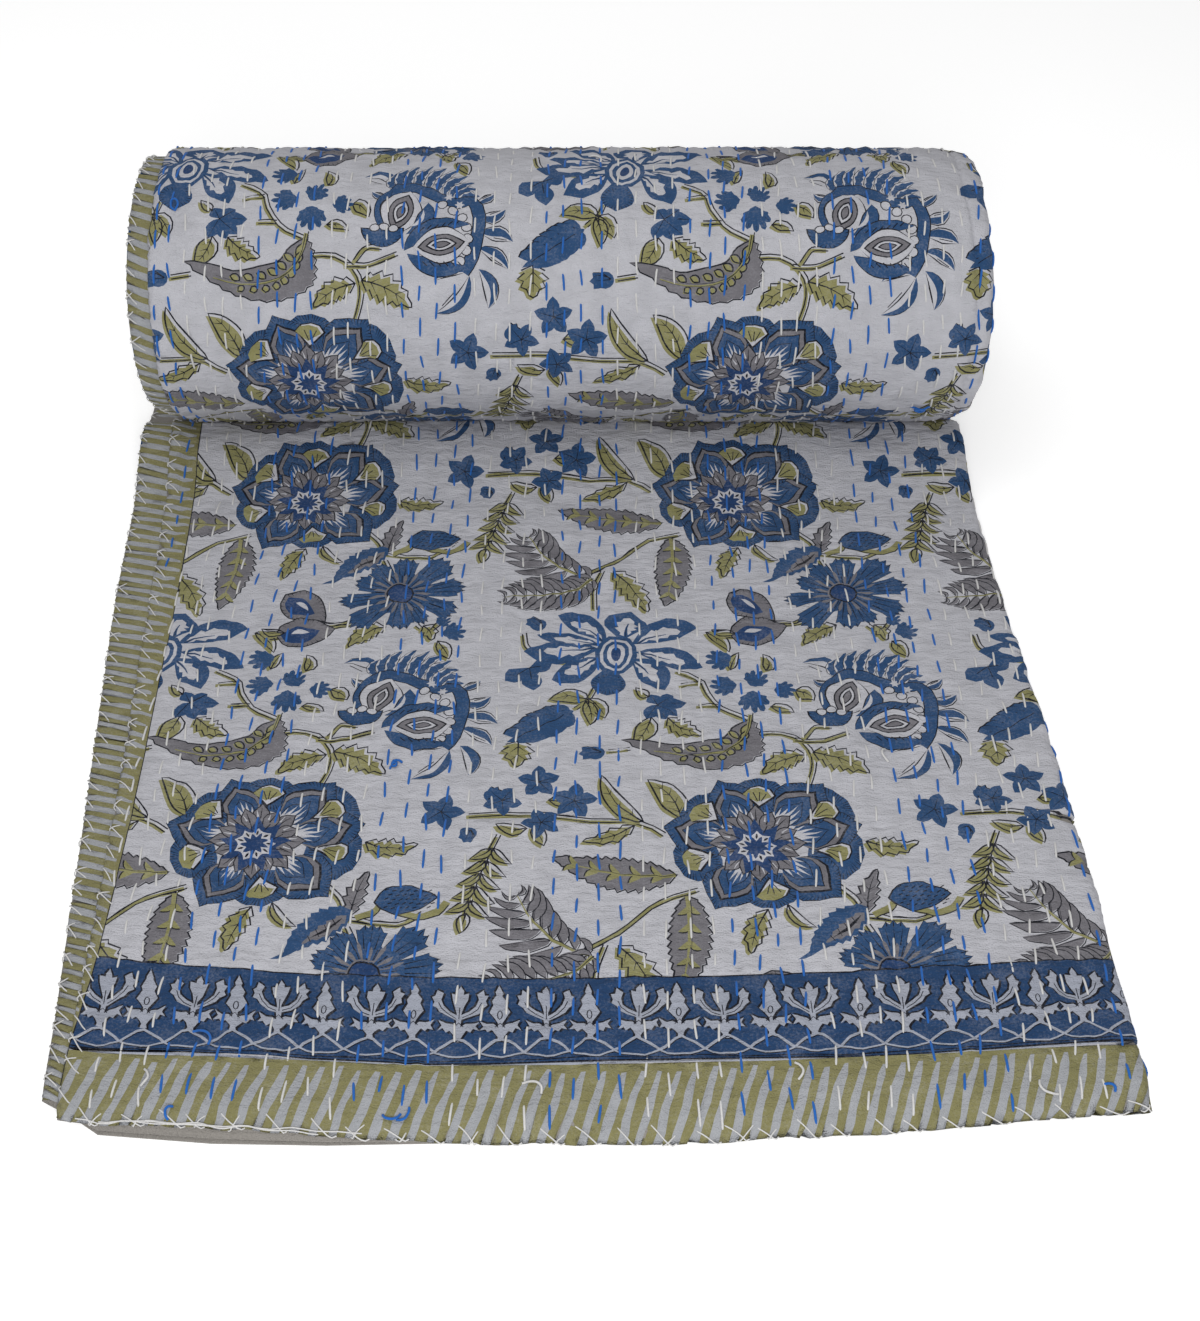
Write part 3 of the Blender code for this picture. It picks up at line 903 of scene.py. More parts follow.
def flapDrawing(cell):
    repeats(cell, -176, 188.8, -2, 8)
    bandDrawing()
    top = border["olive"] - 1
    put("hem", ((-330, -12), (345, -12), (345, top), (-330, top)))
    bars("x", -330, 330, -8, border["olive"] - 4, border["bar"], border["lean"], 0.50, 21)
    # the side strip, which narrows towards the front
    vs = np.arange(-12, 630, 20.0)
    inner = np.stack((stripEdge(vs), vs), 1)
    between("hem", np.stack((np.full(len(vs), -345.0), vs), 1), inner)
    pen(inner, 0.6)
    bars("v", 0, 630, -300.0, lambda v: stripEdge(v) - 0.8, border["sideBar"], border["sideLean"], 0.48, 22)
    return finishedDrawing()


def rollDrawing(cell):
    repeats(cell, -169, 145, 0, 9)
    return finishedDrawing()


def stripDrawing(length, seed, pitch, lean):
    # the striped margin of the second layer
    put("hem", ((-340, -70), (-200, -70), (-200, length + 30), (-340, length + 30)))
    bars("v", -60, length + 40, -330.0, -200.0, pitch, lean, 0.50, seed)
    return finishedDrawing()


def insidePolygon(points, outline):
    # which points lie inside a closed outline, by how many of its sides are right of them
    x, y = points[:, 0][:, None], points[:, 1][:, None]
    x0, y0 = outline[:, 0], outline[:, 1]
    x1, y1 = np.roll(x0, -1), np.roll(y0, -1)
    with np.errstate(divide="ignore", invalid="ignore"):
        at = x0 + (y - y0) * (x1 - x0) / (y1 - y0)
    return (((y0 > y) != (y1 > y)) & (x < at)).sum(1) % 2 == 1


def thinned(outline, slack):
    # leaves out the points that a closed outline bends by less than the slack at
    for turn in range(4):
        if len(outline) < 5:
            break
        before, after = np.roll(outline, 1, 0), np.roll(outline, -1, 0)
        chord = after - before
        away = np.abs(np.cross(chord, outline - before)) / (np.hypot(chord[:, 0], chord[:, 1]) + 1e-9)
        drop = away < slack
        drop[turn % 2::2] = False
        outline = outline[~drop]
    return outline


def triangulated(points, lines):
    found = delaunay_2d_cdt([Vector(p) for p in points], lines, [], 0, 1e-3)
    flat = np.array([tuple(p) for p in found[0]])
    faces = np.array([f for f in found[2] if len(f) == 3])
    corners = flat[faces]
    area = np.cross(corners[:, 1] - corners[:, 0], corners[:, 2] - corners[:, 0])
    faces = np.where((area < 0)[:, None], faces[:, ::-1], faces)[np.abs(area) > 1e-4]
    return flat, faces[np.argsort(flat[faces, 1].mean(1))]


def inkedFaces(flat, faces, shapes):
    # the ink of each face: the last shape drawn over its middle
    centres = flat[faces].mean(1)
    ink = np.zeros(len(faces), int)
    for number, outline in shapes:
        low, high = outline.min(0), outline.max(0)
        first, last = np.searchsorted(centres[:, 1], (low[1], high[1]))
        some = centres[first:last]
        near = np.flatnonzero((some[:, 0] >= low[0]) & (some[:, 0] <= high[0]))
        if len(near):
            ink[first + near[insidePolygon(some[near], outline)]] = number
    return ink


def inkBorders(faces, ink):
    # the edges where one ink meets another; those between equal inks aren't needed
    edgesOf = np.sort(np.concatenate((faces[:, (0, 1)], faces[:, (1, 2)], faces[:, (2, 0)])), axis=1)
    order = np.lexsort((edgesOf[:, 1], edgesOf[:, 0]))
    edgesOf, inkOf = edgesOf[order], np.tile(ink, 3)[order]
    return edgesOf[1:][(edgesOf[1:] == edgesOf[:-1]).all(1) & (inkOf[1:] != inkOf[:-1])]


def cellsOf(points, spacing):
    # cells somewhat under half the spacing wide, to tell which places are taken
    return (points // (spacing * 0.45)).astype(int).tolist()


def looseGrid(box, spacing, taken):
    # points in offset rows, shaken a little, left out where a drawn line has its own
    xLow, xHigh, vLow, vHigh = box
    random = np.random.RandomState(len(taken))
    rows = []
    for row, v in enumerate(np.arange(vLow, vHigh + 1e-6, spacing * 0.87)):
        xs = np.arange(xLow + (row % 2) * spacing / 2, xHigh, spacing)
        spot = np.stack((xs, np.full(len(xs), v)), 1)
        spot += random.uniform(-0.18, 0.18, (len(xs), 2)) * spacing
        rows.append(np.clip(spot, (xLow, vLow), (xHigh, vHigh)))
    points = np.concatenate(rows)
    rim = [(x, v) for x in np.arange(xLow, xHigh, spacing) for v in (vLow, vHigh)]
    rim += [(x, v) for v in np.arange(vLow, vHigh, spacing) for x in (xLow, xHigh)]
    free = [p for p, cell in zip(points.tolist(), cellsOf(points, spacing)) if tuple(cell) not in taken]
    return free + rim + [(xHigh, vHigh)]


def printedMesh(cover, shapesDrawn, mapping, crease=None):
    # triangulates flat cloth along the drawing, inks it, and lays it in its fold
    xLow, xHigh, vLow, vHigh = cover["box"]
    spacing = 4.4 * cover["grid"]
    points, lines, shapes = [], [], []
    for ink, outline in shapesDrawn:
        low, high = outline.min(0), outline.max(0)
        if high[0] < xLow or low[0] > xHigh or high[1] < vLow or low[1] > vHigh:
            continue
        outline = thinned(np.clip(outline, (xLow, vLow), (xHigh, vHigh)), 0.13)
        shapes.append((inkNames.index(ink), outline))
        base, count = len(points), len(outline)
        points.extend(outline.tolist())
        lines.extend((base + k, base + (k + 1) % count) for k in range(count))
    flat, faces = triangulated(points, lines)
    used, lines = np.unique(inkBorders(faces, inkedFaces(flat, faces, shapes)), return_inverse=True)
    taken = {tuple(cell) for cell in cellsOf(flat[used], spacing)}
    points = flat[used].tolist() + looseGrid(cover["box"], spacing, taken)
    if crease:
        # rows of extra points, so that the crease can be sharp
        vs = np.arange(vLow + 1, vHigh, 3.0)
        points += [(crease(v * mm) * 1000 + off, v) for v in vs for off in (-2.4, -1.2, 0, 1.2, 2.4)]
    flat, faces = triangulated(points, lines.reshape(-1, 2).tolist())
    x, v = flat[faces].mean(1).T
    s = rollTop - v * mm if cover["onRoll"] else v * mm
    (left, leftPast), (right, rightPast) = cover["keep"]
    faces = faces[(x > edgeAt(left, s) * 1000 + leftPast) & (x < edgeAt(right, s) * 1000 + rightPast)]
    ink = inkedFaces(flat, faces, shapes)
    used, faces = np.unique(faces, return_inverse=True)
    faces, flat = faces.reshape(-1, 3), flat[used]
    mesh = bpy.data.meshes.new(cover["name"])
    mesh.from_pydata(mapping(*(flat.T * mm)).tolist(), [], faces.tolist())
    colours = np.array([inks[n] for n in inkNames])[ink]
    attribute = mesh.color_attributes.new("ink", "FLOAT_COLOR", "CORNER")
    attribute.data.foreach_set("color", np.repeat(colours, 3, axis=0).ravel())
    layer = mesh.uv_layers.new(name="flatCloth")
    layer.data.foreach_set("uv", (flat[faces.ravel()] * mm).ravel())
    mesh.shade_smooth()
    mesh.update()
    print(cover["name"], len(faces), "triangles,", len(shapes), "printed shapes")
    return addObject(cover["name"], mesh)


def addObject(name, data):
    made = bpy.data.objects.new(name, data)
    bpy.context.scene.collection.objects.link(made)
    return made


coverLift = 0.0004  # the printed cover lies this far over the layers
hemming = {
    "out": 0.0004, "wave": 0.0005, "marginWave": 0.0006,  # of a hem past its layer
    "calm": 0.006, "drawnIn": 0.0011, "drawnFade": 0.01,  # where the whip stitch holds the cloth
}
creasing = {"inside": 0.0125, "wander": 0.002, "depth": 0.0022, "width": 0.0013, "lowest": -0.0019}


def turnedIn(distance, radius):
    # an edge rolled under: the new distance from it, and how far the cloth drops
    angle = np.clip((radius - distance) / radius, 0, math.pi)
    return np.where(angle > 0, radius - radius * np.sin(angle), distance), radius * (1 - np.cos(angle))


def roundFold(distance, radius, lift):
    # past the start of a fold: how far outward from its middle, and how far to the side
    angle = np.clip(distance / radius, 0, math.pi)
    past = np.clip(distance - math.pi * radius, 0, None)
    return (radius + lift) * np.sin(angle) - past, (radius + lift) * np.cos(angle)


def flapTopPlace(x, v):
    # the top layer: its hem at the front and left, and round the outer fold at the right
    left = edgeAt("topEdge", v) - hemming["out"] + hemming["wave"] * softNoise(v, v * 0, 0.019, 31)
    turn = edgeAt("rightFold", v) - foldRadius
    # calmer at the edges, where the cloth is turned in and sewn down
    calm = smoothStep((x - left) / hemming["calm"]) * smoothStep((v - 0.001) / hemming["calm"])
    height = puckers(x, v, False) * (0.35 + 0.65 * calm) + coverLift
    out, up = roundFold(x - turn, foldRadius, height)
    inward, drop = turnedIn(x - left, hem)
    s, frontDrop = turnedIn(v, hem)
    px = np.where(x > turn, turn + out, left + inward)
    t = np.where(x > turn, foldRadius + up, fold["pile"] + height - drop) - frontDrop
    # the front end is wavy where the whip stitch draws it in
    drawn = hemming["drawnIn"] * np.exp(-np.clip(v, 0, None) / hemming["drawnFade"])
    s = s + drawn * softNoise(x, x * 0, 0.012, 33)
    return place(px, s, np.clip(t, 0.0001, None), np.where(t < foldRadius, 3, 0))


def foldCrease(v):
    # the printed layer ends its flat run in a crease, a finger's width before the fold
    s = rollTop - np.asarray(v)
    return edgeAt("rightFold", s) - creasing["inside"] + creasing["wander"] * softNoise(s, s * 0, 0.05, 37)


def rollPlace(x, v):
    # the outer turn, from where it meets the flap, over the top and down the back
    s = rollTop - v
    height = puckers(x, v, True) * smoothStep((v + 0.02) / 0.05)
    height = (height + coverLift) * smoothStep((s - fold["flap"] + 0.03) / 0.06)
    sunk = creasing["depth"] * np.exp(-((x - foldCrease(v)) / creasing["width"]) ** 2)
    height = np.maximum(height - sunk, creasing["lowest"])
    small = fold["cloth"] + fold["layerGap"] / 2
    left = edgeAt("leftFold", s) + small
    turn = edgeAt("rightFold", s) - foldRadius
    rightOut, rightUp = roundFold(x - turn, foldRadius, height)
    leftOut, leftUp = roundFold(left - x, small, height)
    px = np.where(x > turn, turn + rightOut, np.where(x < left, left - leftOut, x))
    t = np.where(x > turn, foldRadius - rightUp, np.where(x < left, small - leftUp, -height))
    return place(px, s, t)


def marginPlace(x, s, v, level, outward):
    # the second layer's margin, which shows past the layer over it
    left = edgeAt("secondEdge", s) - hemming["out"] + hemming["marginWave"] * softNoise(s, s * 0, 0.017, 35)
    inward, drop = turnedIn(x - left, hem)
    height = 0.4 * puckers(x, v, False) + coverLift
    return place(left + inward, s, level + outward * (height - drop), 1)


def flapMarginPlace(x, v):
    s, drop = turnedIn(v, hem)
    return marginPlace(x, s, v, levels[1] + hem - drop, 1)


def rollMarginPlace(x, v):
    return marginPlace(x, rollTop - v, v, levels[1] - hem, -1)


# the printed pieces: the flat box in millimetres, and the edges between which it is kept,
# each with how far past it; the grid is a share of the usual spacing of loose points
print("drawing the print")
cell = repeatDrawing()
flapCoverCloth = {
    "name": "flap_cover", "box": (-290, 335, -5, 590), "grid": 1.0, "onRoll": False,
    "keep": (("topEdge", -3.4), ("rightFold", 30)),
}
flapCover = printedMesh(flapCoverCloth, flapDrawing(cell), flapTopPlace)
rollCoverCloth = {
    "name": "roll_cover", "box": (-300, 325, -55, 612), "grid": 1.0, "onRoll": True,
    "keep": (("leftFold", -10), ("rightFold", 25)),
}
rollCover = printedMesh(rollCoverCloth, rollDrawing(cell), rollPlace, foldCrease)
flapMarginCloth = {
    "name": "flap_margin", "box": (-312, -240, -5, 600), "grid": 0.7, "onRoll": False,
    "keep": (("secondEdge", -3.4), ("topEdge", 12)),
}
flapMargin = printedMesh(flapMarginCloth, stripDrawing(600, 51, border["sideBar"], -0.24), flapMarginPlace)
rollMarginCloth = {
    "name": "roll_margin", "box": (-312, -240, -55, 612), "grid": 0.7, "onRoll": True,
    "keep": (("secondEdge", -3.4), ("leftFold", 14)),
}
rollMargin = printedMesh(rollMarginCloth, stripDrawing(620, 52, border["rollBar"], -0.36), rollMarginPlace)

# the layers under the printed cover
layering = {
    "name": "quilt_layers", "step": 0.0065, "flapStep": 0.012, "frontStep": 0.004,
    "front": 0.06, "flatHalf": 0.235, "cover": 0.0021, "foldIn": 0.0014,  # room for the cover
    "creep": 0.0030, "creepFrom": 1.26,  # of each turn inside the roll, on its own
    "ragged": 0.0013, "behindHem": 0.0022, "frontFade": 0.012,  # the front ends of the layers
}


def foldArc(x, t, radius, start, end, steps):
    a = np.radians(np.linspace(start, end, steps + 1))
    return [(x + radius * c, t + radius * s, c, s) for c, s in zip(np.cos(a), np.sin(a))]


def sectionAt(s):
    # centre line of the folded cloth at s: x, t, the direction of its face, its layer
    rightX = edgeAt("rightFold", s) - foldRadius
    leftX = edgeAt("leftFold", s) + (levels[2] - levels[3]) / 2 + hem
    small = (fold["cloth"] + fold["layerGap"]) / 2
    across = np.linspace(-layering["flatHalf"], layering["flatHalf"] - 0.001, 9)
    line = [(edgeAt("topEdge", s), levels[0], 0, 1, 0)] + [(x, levels[0], 0, 1, 0) for x in across]
    outer = foldArc(rightX, foldRadius, (levels[0] - levels[3]) / 2, 90, -90, 8)
    line += [(*point, 0 if k < 4 else 3) for k, point in enumerate(outer)]
    line += [(x, levels[3], 0, -1, 3) for x in across[::-1]]
    left = foldArc(leftX, (levels[2] + levels[3]) / 2, small, -90, -270, 5)
    line += [(*point, 3 if k < 3 else 2) for k, point in enumerate(left)]
    line += [(x, levels[2], 0, 1, 2) for x in across]
    inner = foldArc(rightX, foldRadius, small, -90, 90, 5)
    line += [(x, t, -c, -d, 2 if k < 3 else 1) for k, (x, t, c, d) in enumerate(inner)]
    line += [(x, levels[1], 0, -1, 1) for x in across[::-1]]
    return line + [(edgeAt("secondEdge", s), levels[1], 0, -1, 1)]


def layersRow(s, lastTurns):
    # the closed outline of the four layers at s
    line = sectionAt(s)
    half = hem - 0.00005
    data = [(x + half * c, t + half * d, level) for x, t, c, d, level in line]
    data += [(x - half * c, t - half * d, level) for x, t, c, d, level in line[::-1]]
    x, t, level = np.array(data).T
    turns = turnsAt(s)
    shrink = layering["cover"] / fold["pile"]
    if s < fold["flap"] - 0.03:
        t = t * (1 - shrink)
    if 0.02 < turns < 1.08:
        t = fold["pile"] - (fold["pile"] - t) * (1 - shrink)
    x = np.where(x > 0.24, x - layering["foldIn"], x)
    if turns > lastTurns - 1:
        t = t * (fold["radius"] - fold["pitch"] * turns - fold["core"]) / fold["pile"]
    creep = layering["creep"] * softNoise(np.full(len(x), s), level * 0.1, 0.08, 81)
    creep = creep * smoothStep((s - layering["creepFrom"]) / 0.1)
    fade = math.exp(-s / layering["frontFade"])
    ragged = layering["ragged"] * fade * softNoise(x, level * 0.31, 0.014, 82)
    behind = layering["behindHem"] * fade * smoothStep((x + 0.15) / 0.1)
    return place(x + creep, np.maximum(s + ragged, 0) + behind, t, level.astype(int))


def layersMesh():
    # the whole folded cloth; the printed cover takes the place of its outer two millimetres
    front, flap, end = layering["front"], fold["flap"], fold["length"] - 0.02
    runs = ((0, front, layering["frontStep"]), (front, flap, layering["flapStep"]),
            (flap, end, layering["step"]))
    along = np.concatenate([np.arange(*run) for run in runs])
    bm = bmesh.new()
    grid = [[bm.verts.new(p) for p in layersRow(s, turnsAt(along[-1]))] for s in along]
    count = len(grid[0])
    for before, after in zip(grid, grid[1:]):
        for i in range(count):
            j = (i + 1) % count
            bm.faces.new((before[i], before[j], after[j], after[i]))
    for row in (grid[0], grid[-1]):
        for i in range(count // 2 - 1):
            bm.faces.new((row[i], row[i + 1], row[count - 2 - i], row[count - 1 - i]))
    bmesh.ops.recalc_face_normals(bm, faces=bm.faces)
    mesh = bpy.data.meshes.new(layering["name"])
    bm.to_mesh(mesh)
    bm.free()
    mesh.shade_smooth()
    print(layering["name"], len(mesh.polygons) * 2, "triangles")
    return addObject(layering["name"], mesh)


layers = layersMesh()


def threadPiece(name, paths, thickness):
    # every path becomes a round thread; a curve's bevel makes the tubes
    data = bpy.data.curves.new(name, "CURVE")
    data.dimensions = "3D"
    data.bevel_depth = thickness / 2
    data.bevel_resolution = 1
    for path in paths:
        line = data.splines.new("POLY")
        line.points.add(len(path) - 1)
        line.points.foreach_set("co", np.column_stack((path, np.ones(len(path)))).ravel())
    holder = addObject(name + "_curve", data)
    mesh = bpy.data.meshes.new_from_object(holder.evaluated_get(bpy.context.evaluated_depsgraph_get()))
    bpy.data.objects.remove(holder)
    mesh.name = name
    mesh.shade_smooth()
    print(name, len(paths), "stitches,", len(mesh.polygons), "faces")
    return addObject(name, mesh)


def lifted(mapping, x, v, height):
    # over the cloth: the mapping's places moved out along its own normals
    tiny = 0.0004
    here = mapping(x, v)
    normal = np.cross(mapping(x + tiny, v) - here, mapping(x, v + tiny) - here)
    normal /= np.linalg.norm(normal, axis=1)[:, None] + 1e-12
    return here + normal * np.asarray(height)[:, None]


def runningStitches(mapping, onRoll, vLow, vHigh, leftEdge, margin):
    # rows of running stitch, in groups of blue and white rows
    start, pitch = stitching["rollRows" if onRoll else "flapRows"]
    colours = {"blue": [], "white": []}
    random = np.random.RandomState(5 + onRoll)
    rise = np.array(stitching["rise"]) * stitching["thread"]
    drift, tilt = stitching["drift"], stitching["tilt"] * np.linspace(-1, 1, 6)
    for k in range(-26, 27):
        colour = "blue" if k % (2 * stitching["group"]) < stitching["group"] else "white"
        x = start + pitch * k + drift * random.uniform(-1, 1)
        v = vLow + random.uniform(0, 0.02)
        while v < vHigh:
            length = stitching["length"] * random.uniform(0.78, 1.18)
            xs = x + drift * softNoise(v, x, 0.09, 61 + k) + tilt * random.uniform(-1, 1)
            s = rollTop - v if onRoll else v
            if edgeAt(leftEdge, s) + margin < xs.min() and xs.max() < edgeAt("rightFold", s) + 0.004:
                colours[colour].append(lifted(mapping, xs, v + np.linspace(0, length, 6), rise))
            v += length + stitching["gap"] * random.uniform(0.8, 1.2)
    return colours


flapStitches = runningStitches(flapTopPlace, False, 0.004, 0.575, "topEdge", 0.006)
rollStitches = runningStitches(rollPlace, True, 0.0, 0.57, "leftFold", 0.008)

# the quilter's last row on the roll runs along its left fold
leftRow = {"pitch": 0.0225, "length": 0.012, "inside": 0.0042, "rise": (-0.5, 0.1, 0.3, 0.3, 0.1, -0.5)}
random = np.random.RandomState(12)
v = 0.03
while v < 0.57:
    vs = v + np.linspace(0, leftRow["length"] * random.uniform(0.8, 1.2), 6)
    xs = edgeAt("leftFold", rollTop - vs) + leftRow["inside"] + 0.0006 * np.sin(vs * 60)
    rollStitches["blue"].append(lifted(rollPlace, xs, vs, np.array(leftRow["rise"]) * stitching["thread"]))
    v += leftRow["pitch"] * random.uniform(0.85, 1.15)

# slack ends of thread: across, along and up, in shares of their size
looseShapes = {
    "loop": ((0, 0, 0), (0.5, 0.7, 1), (0.2, 1.5, 1.6), (-0.5, 1.4, 1.4), (-0.5, 0.6, 1), (0, 0.1, 0)),
    "tail": ((0, 0, 0), (0.25, 0.5, 0.9), (0.15, 1.1, 0.9), (-0.35, 1.6, 0.6), (-0.9, 1.8, 0.1)),
    "knot": ((-0.6, -0.3, 0), (-0.1, 0.4, 0.9), (0.5, 0.5, 1.2), (0.4, -0.1, 1), (-0.2, 0, 1.2),
             (0.1, 0.8, 1.5), (0.8, 1.0, 0.6), (1.2, 0.7, 0.2)),
}


def looseEnd(mapping, x, v, size, turn, shape):
    line = curve(looseShapes[shape], 14)
    across, ahead = turned(size * line, turn, x, v).T
    return lifted(mapping, across, ahead, (0.2 + line[:, 2]) * stitching["thread"])


# where, its x and v, size, turn and shape
blueEnds = (
    (flapTopPlace, -0.083, 0.010, 0.0045, -70, "tail"), (flapTopPlace, -0.184, 0.048, 0.0065, 20, "tail"),
    (flapTopPlace, -0.102, 0.246, 0.004, 0, "knot"), (flapTopPlace, -0.197, 0.010, 0.0035, 140, "tail"),
    (flapTopPlace, -0.090, 0.012, 0.0045, -110, "tail"), (flapTopPlace, 0.284, 0.012, 0.0035, 20, "tail"),
    (rollPlace, 0.232, 0.115, 0.006, -30, "knot"), (rollPlace, -0.254, 0.262, 0.005, 0, "loop"),
)
whiteEnds = (
    (flapTopPlace, -0.010, 0.024, 0.006, 30, "tail"), (flapTopPlace, 0.122, 0.030, 0.005, -20, "tail"),
    (flapTopPlace, 0.246, 0.022, 0.006, 200, "tail"), (flapTopPlace, -0.215, 0.022, 0.005, -30, "tail"),
    (rollPlace, 0.02, 0.31, 0.005, 10, "tail"), (flapTopPlace, 0.19, 0.26, 0.005, 160, "tail"),
)


def runningThreads(colour, ends, thickness):
    paths = flapStitches[colour] + rollStitches[colour] + [looseEnd(*row) for row in ends]
    return threadPiece(colour + "_stitches", paths, thickness)


blueThreads = runningThreads("blue", blueEnds, stitching["thread"])
whiteThreads = runningThreads("white", whiteEnds, stitching["thread"] * 0.9)


whipping = {
    "overhang": 0.0022, "sway": 0.0009, "crossed": 0.55,  # share of the stitches with a second one
    "rise": (-0.3, 0.3, 0.5, 0.6, 0.6, 0.4, 0.1, -0.6),  # in millimetres
}


def whipStitches(mapping, edge, low, high, along, depth, pitch, seed):
    # slanting stitches over an edge, all one way, some of them crossed by a shorter one
    random = np.random.RandomState(seed)
    paths = []

    def strokeOver(start, run, reach, way):
        u = np.linspace(0, 1, 8)
        share = (u if way == 1 else 1 - u) ** random.uniform(0.7, 1.3)
        vs = start + run * u + whipping["sway"] * np.sin(math.pi * u) * random.uniform(-1, 1)
        across = edge(vs) - whipping["overhang"] + (reach + whipping["overhang"]) * share
        rise = np.array(whipping["rise"][::way]) * mm
        paths.append(lifted(mapping, *((across, vs) if along == "v" else (vs, across)), rise))

    at = low
    while at < high:
        run = pitch * random.uniform(0.5, 0.85)
        strokeOver(at, run, depth * random.uniform(0.7, 1.35), -1)
        if random.uniform() < whipping["crossed"]:
            start, part = at + run * random.uniform(0.2, 0.6), run * random.uniform(0.4, 0.7)
            strokeOver(start, part, depth * random.uniform(0.5, 1.0), 1)
        at += pitch * random.uniform(0.75, 1.25)
    return paths


# the cloth, its edge, where the row starts and ends, its way, depth, pitch and seed
whipRows = (
    (flapTopPlace, lambda v: edgeAt("topEdge", v), 0.01, 0.57, "v", 0.0068, 0.0155, 71),
    (flapMarginPlace, lambda v: edgeAt("secondEdge", v), 0.01, 0.59, "v", 0.0068, 0.0165, 72),
    (rollMarginPlace, lambda v: edgeAt("secondEdge", rollTop - v), 0.0, 0.59, "v", 0.0070, 0.0160, 73),
    (flapTopPlace, lambda x: x * 0, -0.245, 0.295, "x", 0.0072, 0.0185, 74),
)
whips = [path for row in whipRows for path in whipStitches(*row)]
# a slack bundle of the same thread, caught along the front edge at its left
for k in range(4):
    xs = np.linspace(-0.246 + 0.012 * k, -0.10 - 0.022 * k, 26)
    ahead = 0.0016 + 0.0011 * softNoise(xs, xs * 0 + 0.3 * k, 0.012, 90 + k)
    whips.append(lifted(flapTopPlace, xs, ahead, 0.0007 + 0.0005 * softNoise(xs, xs * 0, 0.008, 95 + k)))
whipThreads = threadPiece("whip_stitches", whips, stitching["whipThread"])


def addNode(tree, kind, links=None, **settings):
    # adds a node and gives its outputs; links maps its inputs to values or to outputs of others
    node = tree.nodes.new(kind)
    for name, value in settings.items():
        setattr(node, name, value)
    for where, value in (links or {}).items():
        if isinstance(value, bpy.types.NodeSocket):
            tree.links.new(value, node.inputs[where])
        else:
            node.inputs[where].default_value = value
    return node.outputs


def newMaterial(name, roughness, sheen):
    material = bpy.data.materials.new(name)
    material.use_nodes = True
    shader = material.node_tree.nodes["Principled BSDF"]
    shader.inputs["Roughness"].default_value = roughness
    shader.inputs["IOR"].default_value = 1.5
    shader.inputs["Specular IOR Level"].default_value = 0.10
    shader.inputs["Sheen Weight"].default_value = sheen
    shader.inputs["Sheen Roughness"].default_value = 0.6
    return material, material.node_tree, shader


def mixed(tree, factor, first, second):
    # a colour Mix has sockets of the same name for each type of data, so these go by number
    return addNode(tree, "ShaderNodeMix", {0: factor, 6: first, 7: second}, data_type="RGBA")[2]


def clothBump(tree, shader, vector):
    # the thread draws the cloth up in ripples across its rows, 12 mm wide and 4 to 5 mm apart;
    # the weave is drawn at 0.9 mm, finer would not show
    crumpleAt = addNode(tree, "ShaderNodeMapping", {"Vector": vector, "Scale": (80, 215, 200)})[0]
    crumple = addNode(tree, "ShaderNodeTexNoise", {"Vector": crumpleAt, "Scale": 1.0, "Detail": 4.0})["Fac"]
    weaveAt = addNode(tree, "ShaderNodeMapping", {"Vector": vector, "Scale": (1100, 1100, 1100)})[0]
    weave = addNode(tree, "ShaderNodeTexNoise", {"Vector": weaveAt, "Scale": 1.0, "Detail": 2.0})["Fac"]
    height = addNode(tree, "ShaderNodeMath", {0: crumple, 1: 0.7}, operation="MULTIPLY")[0]
    height = addNode(tree, "ShaderNodeMath", {0: weave, 1: 0.3, 2: height}, operation="MULTIPLY_ADD")[0]
    bump = addNode(tree, "ShaderNodeBump", {"Height": height, "Strength": 1.0, "Distance": 0.0034})
    tree.links.new(bump[0], shader.inputs["Normal"])


def printedCotton():
    # plain-weave cotton, block printed: flat pigment that thins out in specks
    material, tree, shader = newMaterial("block_printed_cotton", 0.9, 0.03)
    uv = addNode(tree, "ShaderNodeUVMap", uv_map="flatCloth")[0]
    ink = addNode(tree, "ShaderNodeAttribute", attribute_name="ink")
    speckLook = {"Vector": uv, "Scale": 620.0, "Detail": 3.0, "Roughness": 0.65}
    speck = addNode(tree, "ShaderNodeTexNoise", speckLook)["Fac"]
    patch = addNode(tree, "ShaderNodeTexNoise", {"Vector": uv, "Scale": 70.0, "Detail": 2.0})["Fac"]
    wear = addNode(tree, "ShaderNodeMath", {0: speck, 1: 0.65}, operation="MULTIPLY")[0]
    wear = addNode(tree, "ShaderNodeMath", {0: patch, 1: 0.35, 2: wear}, operation="MULTIPLY_ADD")[0]
    thinRange = {"Value": wear, "From Min": 0.48, "From Max": 0.74, "To Min": 0.0, "To Max": 0.22}
    thin = addNode(tree, "ShaderNodeMapRange", thinRange)[0]
    bare = addNode(tree, "ShaderNodeMath", {0: thin, 1: ink["Alpha"]}, operation="MULTIPLY")[0]
    ground = mixed(tree, bare, ink["Color"], inks["cloth"][:3] + (1,))
    toneRange = {"Value": patch, "From Min": 0.3, "From Max": 0.7, "To Min": 0.93, "To Max": 1.05}
    tone = addNode(tree, "ShaderNodeMapRange", toneRange)[0]
    shade = addNode(tree, "ShaderNodeVectorMath", {0: ground, "Scale": tone}, operation="SCALE")
    tree.links.new(shade[0], shader.inputs["Base Color"])
    clothBump(tree, shader, uv)
    return material


